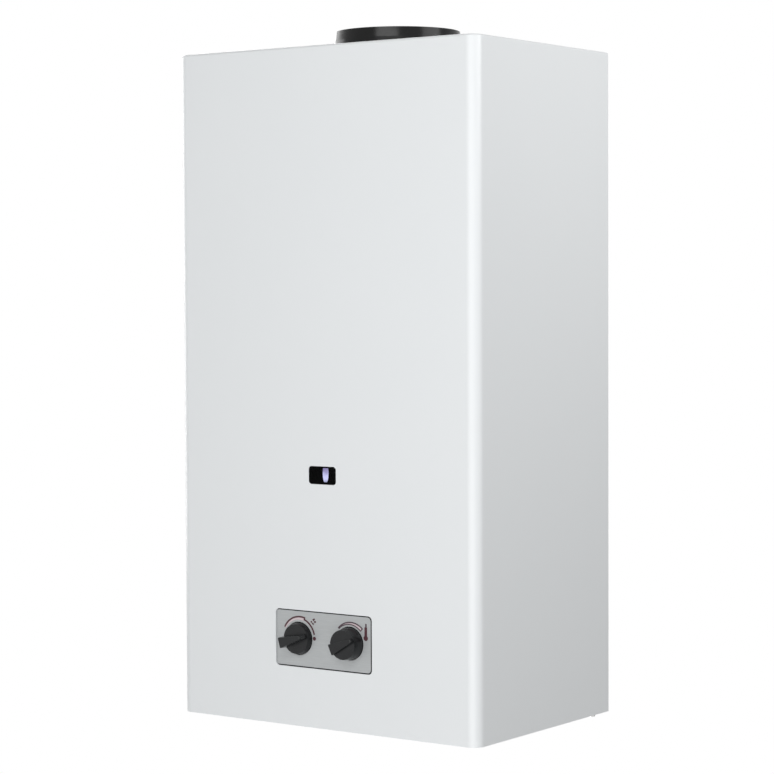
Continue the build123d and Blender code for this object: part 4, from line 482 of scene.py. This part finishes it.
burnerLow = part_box("burner_bars")[0][2]
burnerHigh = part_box("burner_bars")[1][2]
finishes = {
    "cover_white": cloudyFinish("coverEnamel", enamelWhite),
    "galvanised": spangledZinc("spangledZinc", galvanised),
    "zinc_fasteners": cloudyFinish("zincPlate", zincPlate),
    "window_black": cloudyFinish("windowBlackAndShade", windowBlackAndShade),
    "window_glass": shadeTintedGlass("shadeTintedGlass", paneGlass),
    "fascia_silver": cloudyFinish("fasciaSilver", fasciaSilver),
    "knob_black": cloudyFinish("knobPlastic", knobPlastic),
    "bright_steel": cloudyFinish("brightSteel", brightSteel),
    "spring_steel": cloudyFinish("springSteel", springSteel),
    "brass": cloudyFinish("turnedBrass", turnedBrass),
    "cast_aluminium": cloudyFinish("castAluminium", castAluminium),
    "cast_brass": cloudyFinish("castBrass", castBrass),
    "black_rubber": cloudyFinish("blackRubber", blackRubber),
    "copper": heatTintedCopper("heatTintedCopper", heatedCopper),
    "gas_pipe": cloudyFinish("gasPipeMetal", gasPipeMetal),
    "burner_steel": heatBandedSteel("heatBandedSteel", burnerSteel, burnerLow, burnerHigh),
    "electrode_ceramic": cloudyFinish("electrodeGlaze", electrodeGlaze),
    "collar_enamel": cloudyFinish("collarEnamel", collarEnamel),
}
for entry in frame["record"]["subparts"]:
    node = frame["nodes"][entry["node"]]
    node.data.materials.clear()
    node.data.materials.append(finishes[entry["material_slot"]])


def addPiece(name, mesh, material, body):
    piece = bpy.data.objects.new(name, mesh)
    scene.collection.objects.link(piece)
    mesh.materials.clear()
    mesh.materials.append(material)
    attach(piece, body)
    return piece


# the drawn faces become a mesh with its faces turned outwards
def closedMesh(name, shape):
    bmesh.ops.recalc_face_normals(shape, faces=shape.faces)
    mesh = bpy.data.meshes.new(name)
    shape.to_mesh(mesh)
    shape.free()
    return mesh


# where a knob's axis meets the fascia, in millimetres
def dialCentre(jointName):
    for joint in frame["record"]["behaviour"]["joints"]:
        if joint["name"] == jointName:
            x, y, z = joint["pos_m"]
            return {"x": x / mm, "front": -y / mm, "height": z / mm + hangHeight}


gasDial = dialCentre("gas_turn")
warmDial = dialCentre("temperature_turn")


# points on an arc about a dial, whose radius may grow or shrink on the way
def arcPoints(dial, radii, angles, steps):
    points = []
    for step in range(steps + 1):
        share = step / steps
        radius = radii[0] + (radii[1] - radii[0]) * share
        turn = math.radians(angles[0] + (angles[1] - angles[0]) * share)
        points.append((dial["x"] + radius * math.cos(turn), dial["height"] + radius * math.sin(turn)))
    return points


# band between two arcs as one outline
def bandOutline(dial, inner, outer, angles, steps=28):
    return arcPoints(dial, outer, angles, steps) + arcPoints(dial, inner, angles, steps)[::-1]


def discOutline(x, z, radius, steps=24):
    outline = []
    for step in range(steps):
        turn = 2 * math.pi * step / steps
        outline.append((x + radius * math.cos(turn), z + radius * math.sin(turn)))
    return outline


# bulb with a stem standing on it, as one outline
def bulbOutline(x, z, radius, top, wide, steps=24):
    half = wide / 2
    gap = math.asin(half / radius)
    outline = [(x - half, top), (x + half, top)]
    for step in range(steps + 1):
        turn = math.pi / 2 - gap - 2 * (math.pi - gap) * step / steps
        outline.append((x + radius * math.cos(turn), z + radius * math.sin(turn)))
    return outline


# straight stroke with its own width at each end
def strokeOutline(start, end, startWidth, endWidth):
    along = Vector((end[0] - start[0], end[1] - start[1])).normalized()
    side = Vector((-along.y, along.x))
    return [
        (start[0] - side.x * startWidth / 2, start[1] - side.y * startWidth / 2),
        (end[0] - side.x * endWidth / 2, end[1] - side.y * endWidth / 2),
        (end[0] + side.x * endWidth / 2, end[1] + side.y * endWidth / 2),
        (start[0] + side.x * startWidth / 2, start[1] + side.y * startWidth / 2),
    ]


# printed marks on the fascia, each a thin closed plate of ink
marks = {"lift": 0.02, "ink": 0.05, "overprint": 0.06, "line": 1.5}
printRed = {
    "dark": (0.040, 0.008, 0.014), "pale": (0.062, 0.012, 0.019), "toneScale": 600.0,
    "rough": (0.45, 0.55), "roughScale": 600.0, "relief": 0.04, "reliefScale": 3000.0,
    "reliefDepth": 0.0001,
}
printPink = {**printRed, "dark": (0.60, 0.50, 0.52), "pale": (0.67, 0.57, 0.59), "toneScale": 500.0}
printMauve = {**printRed, "dark": (0.050, 0.030, 0.040), "pale": (0.080, 0.050, 0.062)}
redInk = cloudyFinish("printRed", printRed)
pinkInk = cloudyFinish("printPink", printPink)
mauveInk = cloudyFinish("printMauve", printMauve)


# outlines in X and height become thin plates just in front of the fascia
def printMark(name, outlines, ink, over=0.0):
    shape = bmesh.new()
    back = gasDial["front"] + marks["lift"] + over
    for outline in outlines:
        rear = [shape.verts.new(spot(x, back, z)) for x, z in outline]
        face = shape.faces.new(rear)
        grown = bmesh.ops.extrude_face_region(shape, geom=[face])
        moved = [item for item in grown["geom"] if isinstance(item, bmesh.types.BMVert)]
        bmesh.ops.translate(shape, verts=moved, vec=(0, -marks["ink"] * mm, 0))
    addPiece(name, closedMesh(name, shape), ink, "heater")


def widened(radii, extra):
    return [radius + extra for radius in radii]


# gas scale: a thin line up to a step, then the wide part of the power range
gasScale = {
    "thinRadii": (16.7, 17.2), "thinAngles": (15, 68.9),
    "wideRadii": (18.7, 17.3), "wideAngles": (73.1, 150),
    "stepRadii": (17.2, 18.7), "stepAngles": (69, 73), "stepCount": 3,
    "fillInner": (16.6, 16.4), "fillOuter": (19.0, 17.5), "fillAngles": (72, 149),
}


def printGasScale(values):
    line = marks["line"]
    foot, head = values["stepRadii"]
    outlines = [
        bandOutline(gasDial, values["thinRadii"], widened(values["thinRadii"], line), values["thinAngles"]),
        bandOutline(gasDial, values["wideRadii"], widened(values["wideRadii"], line), values["wideAngles"]),
        bandOutline(gasDial, (foot, foot), (head + line, head + line), values["stepAngles"],
                    values["stepCount"]),
    ]
    printMark("gas_scale", outlines, redInk, marks["overprint"])
    fill = bandOutline(gasDial, values["fillInner"], values["fillOuter"], values["fillAngles"])
    printMark("gas_scale_fill", [fill], pinkInk)


printGasScale(gasScale)

offDot = {"x": -10.6, "height": 77.9, "radius": 1.7}
printMark("off_dot", [discOutline(offDot["x"], offDot["height"], offDot["radius"])], redInk)

# spark: four short strokes about one centre
spark = {
    "x": -12.3, "height": 92.7,
    "strokes": [
        {"start": (-2.4, -0.5), "end": (-0.7, -0.1), "widths": (1.0, 1.9)},
        {"start": (0.1, 1.1), "end": (2.2, 2.5), "widths": (2.0, 1.4)},
        {"start": (1.6, -0.3), "end": (3.5, 0.1), "widths": (2.0, 1.4)},
        {"start": (-0.3, -1.1), "end": (0.9, -2.7), "widths": (1.8, 1.2)},
    ],
}


def printSpark(values):
    outlines = []
    for stroke in values["strokes"]:
        start = (values["x"] + stroke["start"][0], values["height"] + stroke["start"][1])
        end = (values["x"] + stroke["end"][0], values["height"] + stroke["end"][1])
        outlines.append(strokeOutline(start, end, *stroke["widths"]))
    printMark("spark_mark", outlines, redInk)


printSpark(spark)

# temperature scale: a wedge that widens towards hot
warmScale = {
    "angles": (134, 46.7), "upperRadii": (16.8, 18.7), "upperLine": 1.2,
    "lowerRadii": (16.2, 16.0), "lowerOuter": (17.1, 17.05),
    "endAngles": (46.6, 43.6), "endCount": 3,
    "fillInner": (16.3, 16.2), "fillOuter": (17.2, 19.0), "fillAngles": (133, 45),
}


def printWarmScale(values):
    upperOuter = widened(values["upperRadii"], values["upperLine"])
    foot = values["lowerRadii"][1]
    head = upperOuter[1]
    outlines = [
        bandOutline(warmDial, values["upperRadii"], upperOuter, values["angles"]),
        bandOutline(warmDial, values["lowerRadii"], values["lowerOuter"], values["angles"]),
        bandOutline(warmDial, (foot, foot), (head, head), values["endAngles"], values["endCount"]),
    ]
    printMark("warm_scale", outlines, mauveInk, marks["overprint"])
    fill = bandOutline(warmDial, values["fillInner"], values["fillOuter"], values["fillAngles"])
    printMark("warm_scale_fill", [fill], pinkInk)


printWarmScale(warmScale)

# thermometer: a red bulb and stem printed over a longer tube
thermometer = {
    "x": 44.8, "height": 82.7, "bulb": 2.3, "stemTop": 92.0, "stem": 2.8,
    "tubeFoot": (44.9, 84.0), "tubeTop": (45.0, 95.2), "tubeWidths": (2.0, 1.5),
}


def printThermometer(values):
    bulb = bulbOutline(values["x"], values["height"], values["bulb"], values["stemTop"], values["stem"])
    printMark("warmth_mark", [bulb], redInk, marks["overprint"])
    tube = strokeOutline(values["tubeFoot"], values["tubeTop"], *values["tubeWidths"])
    printMark("warmth_tube", [tube], mauveInk)


printThermometer(thermometer)
print("fascia marks printed")

# pilot flame standing on the pilot burner's head: pale at its root, violet where it thins out
flame = {
    "x": -27.0, "depth": 175.0, "foot": 211.2, "flat": 0.55, "steps": 28, "tip": 1.6,
    "profile": [  # radius and rise
        (1.5, 0.0), (2.2, 1.5), (2.75, 4.0), (3.0, 8.0),
        (2.8, 11.0), (2.25, 14.0), (1.5, 18.0), (0.7, 21.5),
    ],
    "glowRise": 23.6, "strength": 42.0, "shake": 0.06, "shakeScale": 260.0,
    "tones": [
        (0.0, (0.34, 0.37, 0.46)), (0.10, (0.70, 0.71, 0.90)), (0.24, (0.66, 0.66, 0.86)),
        (0.40, (0.40, 0.38, 0.54)), (0.58, (0.20, 0.155, 0.29)), (0.80, (0.09, 0.055, 0.15)),
        (1.0, (0.04, 0.02, 0.08)),
    ],
}


def flameGlow(name, look):
    finish, nodes, links, shader, coords = startFinish(name)
    shader.inputs["Base Color"].default_value = (0, 0, 0, 1)
    shader.inputs["Specular IOR Level"].default_value = 0.0
    low = spot(0, 0, look["foot"]).z
    rise = shakenRise(nodes, links, coords, look, low, low + look["glowRise"] * mm)
    links.new(ramp(nodes, links, rise, look["tones"]), shader.inputs["Emission Color"])
    shader.inputs["Emission Strength"].default_value = look["strength"]
    return finish


def flameMesh(name, values):
    shape = bmesh.new()
    steps = values["steps"]
    rings = []
    for radius, rise in values["profile"]:
        ring = []
        for step in range(steps):
            turn = 2 * math.pi * step / steps
            x = values["x"] + radius * math.cos(turn)
            depth = values["depth"] + radius * values["flat"] * math.sin(turn)
            ring.append(shape.verts.new(spot(x, depth, values["foot"] + rise)))
        rings.append(ring)
    for lower, upper in zip(rings, rings[1:]):
        for step in range(steps):
            after = (step + 1) % steps
            shape.faces.new((lower[step], lower[after], upper[after], upper[step]))
    top = values["foot"] + values["profile"][-1][1] + values["tip"]
    tip = shape.verts.new(spot(values["x"], values["depth"], top))
    shape.faces.new(list(reversed(rings[0])))
    for step in range(steps):
        after = (step + 1) % steps
        shape.faces.new((rings[-1][step], rings[-1][after], tip))
    for face in shape.faces:
        face.smooth = True
    return closedMesh(name, shape)


flameFinish = flameGlow("flameGlow", flame)
flamePiece = addPiece("pilot_flame", flameMesh("pilot_flame", flame), flameFinish, "heater")
flamePiece.visible_diffuse = False
flamePiece.visible_glossy = False
print("pilot flame lit")


# repeated details: each tree grows its shape on marked spots, then becomes a plain mesh
def startTree(name, sizes):
    tree = bpy.data.node_groups.new(name, "GeometryNodeTree")
    tree.interface.new_socket("Spots", in_out="INPUT", socket_type="NodeSocketGeometry")
    for size in sizes:
        tree.interface.new_socket(size, in_out="INPUT", socket_type="NodeSocketFloat")
    tree.interface.new_socket("Detail", in_out="OUTPUT", socket_type="NodeSocketGeometry")
    return tree, tree.nodes, tree.links, tree.nodes.new("NodeGroupInput")


# one shape on every spot, its Z axis along the spot's facing
def endTree(nodes, links, groupIn, shape, material):
    facing = nodes.new("GeometryNodeInputNamedAttribute")
    facing.data_type = "FLOAT_VECTOR"
    facing.inputs["Name"].default_value = "facing"
    turn = nodes.new("FunctionNodeAlignRotationToVector")
    turn.axis = "Z"
    links.new(facing.outputs["Attribute"], turn.inputs["Vector"])
    place = nodes.new("GeometryNodeInstanceOnPoints")
    links.new(groupIn.outputs["Spots"], place.inputs["Points"])
    links.new(shape, place.inputs["Instance"])
    links.new(turn.outputs["Rotation"], place.inputs["Rotation"])
    real = nodes.new("GeometryNodeRealizeInstances")
    links.new(place.outputs["Instances"], real.inputs["Geometry"])
    paint = nodes.new("GeometryNodeSetMaterial")
    paint.inputs["Material"].default_value = material
    links.new(real.outputs["Geometry"], paint.inputs["Geometry"])
    groupOut = nodes.new("NodeGroupOutput")
    links.new(paint.outputs["Geometry"], groupOut.inputs["Detail"])


def ringCurve(nodes, links, radius, steps):
    ring = nodes.new("GeometryNodeCurvePrimitiveCircle")
    ring.inputs["Resolution"].default_value = steps
    links.new(radius, ring.inputs["Radius"])
    return ring.outputs["Curve"]


def growPiece(name, tree, sizes, spots, material, body):
    seeds = bpy.data.meshes.new(name + "Spots")
    seeds.from_pydata([place for place, facing in spots], [], [])
    aims = seeds.attributes.new("facing", "FLOAT_VECTOR", "POINT")
    for index, (place, facing) in enumerate(spots):
        aims.data[index].vector = facing
    holder = bpy.data.objects.new(name + "Spots", seeds)
    grower = holder.modifiers.new(name, "NODES")
    grower.node_group = tree
    for socket in tree.interface.items_tree:
        if socket.in_out == "INPUT" and socket.name in sizes:
            grower[socket.identifier] = sizes[socket.name]
    scene.collection.objects.link(holder)
    ready = holder.evaluated_get(bpy.context.evaluated_depsgraph_get())
    mesh = bpy.data.meshes.new_from_object(ready)
    mesh.name = name
    holder.modifiers.remove(grower)
    bpy.data.objects.remove(holder)
    bpy.data.meshes.remove(seeds)
    return addPiece(name, mesh, material, body)


up = (0, 0, 1)
ahead = (0, -1, 0)

# pipe threads on the three connections below the casing
threads = {
    "nodes": ("hot_outlet_union", "gas_inlet_elbow", "cold_inlet_elbow"), "start": 1.0,
    "turnSteps": 40, "ridgeSides": 4,
    "sizes": {"Crest": 10.08 * mm, "Ridge": 0.75 * mm, "Pitch": 1.814 * mm, "Length": 20.0 * mm},
}


def threadTree(values, material):
    tree, nodes, links, groupIn = startTree("pipeThread", values["sizes"])
    turns = nodes.new("ShaderNodeMath")
    turns.operation = "DIVIDE"
    links.new(groupIn.outputs["Length"], turns.inputs[0])
    links.new(groupIn.outputs["Pitch"], turns.inputs[1])
    helix = nodes.new("GeometryNodeCurveSpiral")
    helix.inputs["Resolution"].default_value = values["turnSteps"]
    links.new(turns.outputs[0], helix.inputs["Rotations"])
    links.new(groupIn.outputs["Crest"], helix.inputs["Start Radius"])
    links.new(groupIn.outputs["Crest"], helix.inputs["End Radius"])
    links.new(groupIn.outputs["Length"], helix.inputs["Height"])
    level = nodes.new("GeometryNodeSetCurveNormal")
    level.mode = "Z_UP"
    links.new(helix.outputs["Curve"], level.inputs["Curve"])
    ridge = ringCurve(nodes, links, groupIn.outputs["Ridge"], values["ridgeSides"])
    sweep = nodes.new("GeometryNodeCurveToMesh")
    sweep.inputs["Fill Caps"].default_value = True
    links.new(level.outputs["Curve"], sweep.inputs["Curve"])
    links.new(ridge, sweep.inputs["Profile Curve"])
    endTree(nodes, links, groupIn, sweep.outputs["Mesh"], material)
    return tree


# the three connections stand in one row, as deep as the straight one's middle
def threadSpots(values):
    spots = []
    rowLow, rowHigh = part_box(values["nodes"][0])
    row = (rowLow[1] + rowHigh[1]) / 2
    for node in values["nodes"]:
        low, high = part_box(node)
        foot = low[2] + values["start"] * mm
        spots.append((Vector(((low[0] + high[0]) / 2, row, foot)), up))
    return spots


brassFinish = finishes["brass"]
growPiece("thread_ridges", threadTree(threads, brassFinish), threads["sizes"], threadSpots(threads),
          brassFinish, "heater")

# blind rivets: a flanged dome with the hole that its pin leaves
rivets = {
    "sizes": {
        "Flange": 2.9 * mm, "Dome": 1.95 * mm, "Rise": 1.0 * mm, "Lip": 1.3 * mm, "Bead": 0.55 * mm,
    },
    "roundSteps": 20, "beadSides": 8,
    "railHeight": 29.0, "railPlaces": (-121.0, -37.5, 46.0), "footInset": 10.0, "sheetFace": 2.7,
    "brackets": ("chamber_bracket", "hood_bracket"), "hoodInset": 8.0,
    "hoodHeights": (492.0, 523.0, 554.0), "flangeRadius": 60.4, "flangeCount": 6,
    "flueDepth": 100.0, "flangeHeight": 573.0,
}


def rivetTree(values, material):
    tree, nodes, links, groupIn = startTree("blindRivet", values["sizes"])
    skirt = nodes.new("GeometryNodeMeshCone")
    skirt.inputs["Vertices"].default_value = values["roundSteps"]
    links.new(groupIn.outputs["Flange"], skirt.inputs["Radius Bottom"])
    links.new(groupIn.outputs["Dome"], skirt.inputs["Radius Top"])
    links.new(groupIn.outputs["Rise"], skirt.inputs["Depth"])
    lip = ringCurve(nodes, links, groupIn.outputs["Lip"], values["roundSteps"])
    bead = ringCurve(nodes, links, groupIn.outputs["Bead"], values["beadSides"])
    ring = nodes.new("GeometryNodeCurveToMesh")
    links.new(lip, ring.inputs["Curve"])
    links.new(bead, ring.inputs["Profile Curve"])
    lift = nodes.new("GeometryNodeTransform")
    rise = nodes.new("ShaderNodeCombineXYZ")
    links.new(groupIn.outputs["Rise"], rise.inputs["Z"])
    links.new(rise.outputs[0], lift.inputs["Translation"])
    links.new(ring.outputs["Mesh"], lift.inputs["Geometry"])
    whole = nodes.new("GeometryNodeJoinGeometry")
    links.new(skirt.outputs["Mesh"], whole.inputs["Geometry"])
    links.new(lift.outputs["Geometry"], whole.inputs["Geometry"])
    endTree(nodes, links, groupIn, whole.outputs["Geometry"], material)
    return tree


def rivetSpots(values):
    spots = []
    face = values["sheetFace"]
    for x in values["railPlaces"]:
        spots.append((spot(x, face, values["railHeight"]), ahead))
    for node in values["brackets"]:
        low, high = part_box(node)
        inset = values["footInset"] * mm
        for x in (low[0] + inset, high[0] - inset):
            for z in (low[2] + inset, high[2] - inset):
                spots.append((Vector((x, -face * mm, z)), ahead))
    low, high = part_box("draught_hood")
    inset = values["hoodInset"] * mm
    for height in values["hoodHeights"]:
        z = spot(0, 0, height).z
        for y in (low[1] + inset, high[1] - inset):
            spots.append((Vector((low[0], y, z)), (-1, 0, 0)))
            spots.append((Vector((high[0], y, z)), (1, 0, 0)))
    for step in range(values["flangeCount"]):
        turn = 2 * math.pi * (step + 0.5) / values["flangeCount"]
        x = values["flangeRadius"] * math.cos(turn)
        depth = values["flueDepth"] + values["flangeRadius"] * math.sin(turn)
        spots.append((spot(x, depth, values["flangeHeight"]), up))
    return spots


zincFinish = finishes["zinc_fasteners"]
growPiece("blind_rivets", rivetTree(rivets, zincFinish), rivets["sizes"], rivetSpots(rivets),
          zincFinish, "heater")

# solder fillets where the water tubes pass the chamber's side sheets
solder = {
    "firstDepth": 164.0, "pitch": 26.0, "count": 5, "height": 440.0, "side": 107.0,
    "sizes": {"Tube": 7.25 * mm, "Fillet": 0.95 * mm}, "roundSteps": 36, "beadSides": 10,
    "dark": (0.42, 0.42, 0.41), "pale": (0.60, 0.59, 0.57), "toneScale": 260.0, "metal": 0.9,
    "rough": (0.32, 0.5), "roughScale": 320.0, "relief": 0.2, "reliefScale": 900.0,
}


def solderTree(values, material):
    tree, nodes, links, groupIn = startTree("solderFillet", values["sizes"])
    path = ringCurve(nodes, links, groupIn.outputs["Tube"], values["roundSteps"])
    bead = ringCurve(nodes, links, groupIn.outputs["Fillet"], values["beadSides"])
    sweep = nodes.new("GeometryNodeCurveToMesh")
    links.new(path, sweep.inputs["Curve"])
    links.new(bead, sweep.inputs["Profile Curve"])
    endTree(nodes, links, groupIn, sweep.outputs["Mesh"], material)
    return tree


def solderSpots(values):
    spots = []
    for row in range(values["count"]):
        depth = values["firstDepth"] - row * values["pitch"]
        for side in (-1, 1):
            spots.append((spot(side * values["side"], depth, values["height"]), (side, 0, 0)))
    return spots


solderFinish = cloudyFinish("softSolder", solder)
growPiece("solder_fillets", solderTree(solder, solderFinish), solder["sizes"], solderSpots(solder),
          solderFinish, "heater")
print("threads, rivets and solder grown")

# black band on the fascia along the edge of the cover's cut-out: painted shade that stands in for the
# shadow line in the gap around the fascia
shadowBand = {
    "left": -53.4, "right": 50.2, "foot": 52.6, "top": 100.9, "width": 4.5, "corner": 3.4,
    "back": 214.6, "thick": 0.3, "steps": 8,
    "dark": (0.004, 0.004, 0.004), "pale": (0.009, 0.009, 0.009), "toneScale": 300.0,
    "rough": (0.8, 0.95), "roughScale": 500.0, "relief": 0.3, "reliefScale": 2600.0, "shine": 0.1,
}


# outline of the cut-out with round corners, grown outwards by a margin
def shadowBandOutline(values, margin):
    left = values["left"] - margin
    right = values["right"] + margin
    foot = values["foot"] - margin
    top = values["top"] + margin
    radius = values["corner"] + margin
    centres = (
        (right - radius, top - radius), (left + radius, top - radius),
        (left + radius, foot + radius), (right - radius, foot + radius),
    )
    outline = []
    for quarter, (x, z) in enumerate(centres):
        for step in range(values["steps"] + 1):
            turn = math.radians(90 * (quarter + step / values["steps"]))
            outline.append((x + radius * math.cos(turn), z + radius * math.sin(turn)))
    return outline


def shadowBandMesh(name, values):
    inner = shadowBandOutline(values, 0.0)
    outer = shadowBandOutline(values, values["width"])
    back = values["back"]
    front = back + values["thick"]
    shape = bmesh.new()
    rings = []
    for outline, depth in ((inner, back), (outer, back), (outer, front), (inner, front)):
        rings.append([shape.verts.new(spot(x, depth, z)) for x, z in outline])
    for ring, after in zip(rings, rings[1:] + rings[:1]):
        for step in range(len(ring)):
            following = (step + 1) % len(ring)
            shape.faces.new((ring[step], ring[following], after[following], after[step]))
    return closedMesh(name, shape)


# near-black finish of the band: painted shade
shadowBandFinish = cloudyFinish("shadowBandBlack", shadowBand)
addPiece("fascia_shadow_band", shadowBandMesh("fascia_shadow_band", shadowBand), shadowBandFinish, "heater")
print("fascia seal laid")


# springs stand for their nodes as copies of their meshes, riding on the heater's body
def shorteningSpring(entry):
    node = entry["node"]
    letter = entry["mode"][-1]
    along = "xyz".index(letter)
    low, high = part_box(node)
    anchor = [(low[side] + high[side]) / 2 for side in range(3)]
    anchor[along] = entry["fixed_end_" + letter + "_m"]
    mesh = frame["nodes"][node].data.copy()
    piece = addPiece(node + "_coil", mesh, finishes["spring_steel"], "heater")
    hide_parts(node)
    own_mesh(piece)


for joint in frame["record"]["behaviour"]["joints"]:
    for entry in joint.get("deforming_nodes", []):
        shorteningSpring(entry)
print("springs coiled")
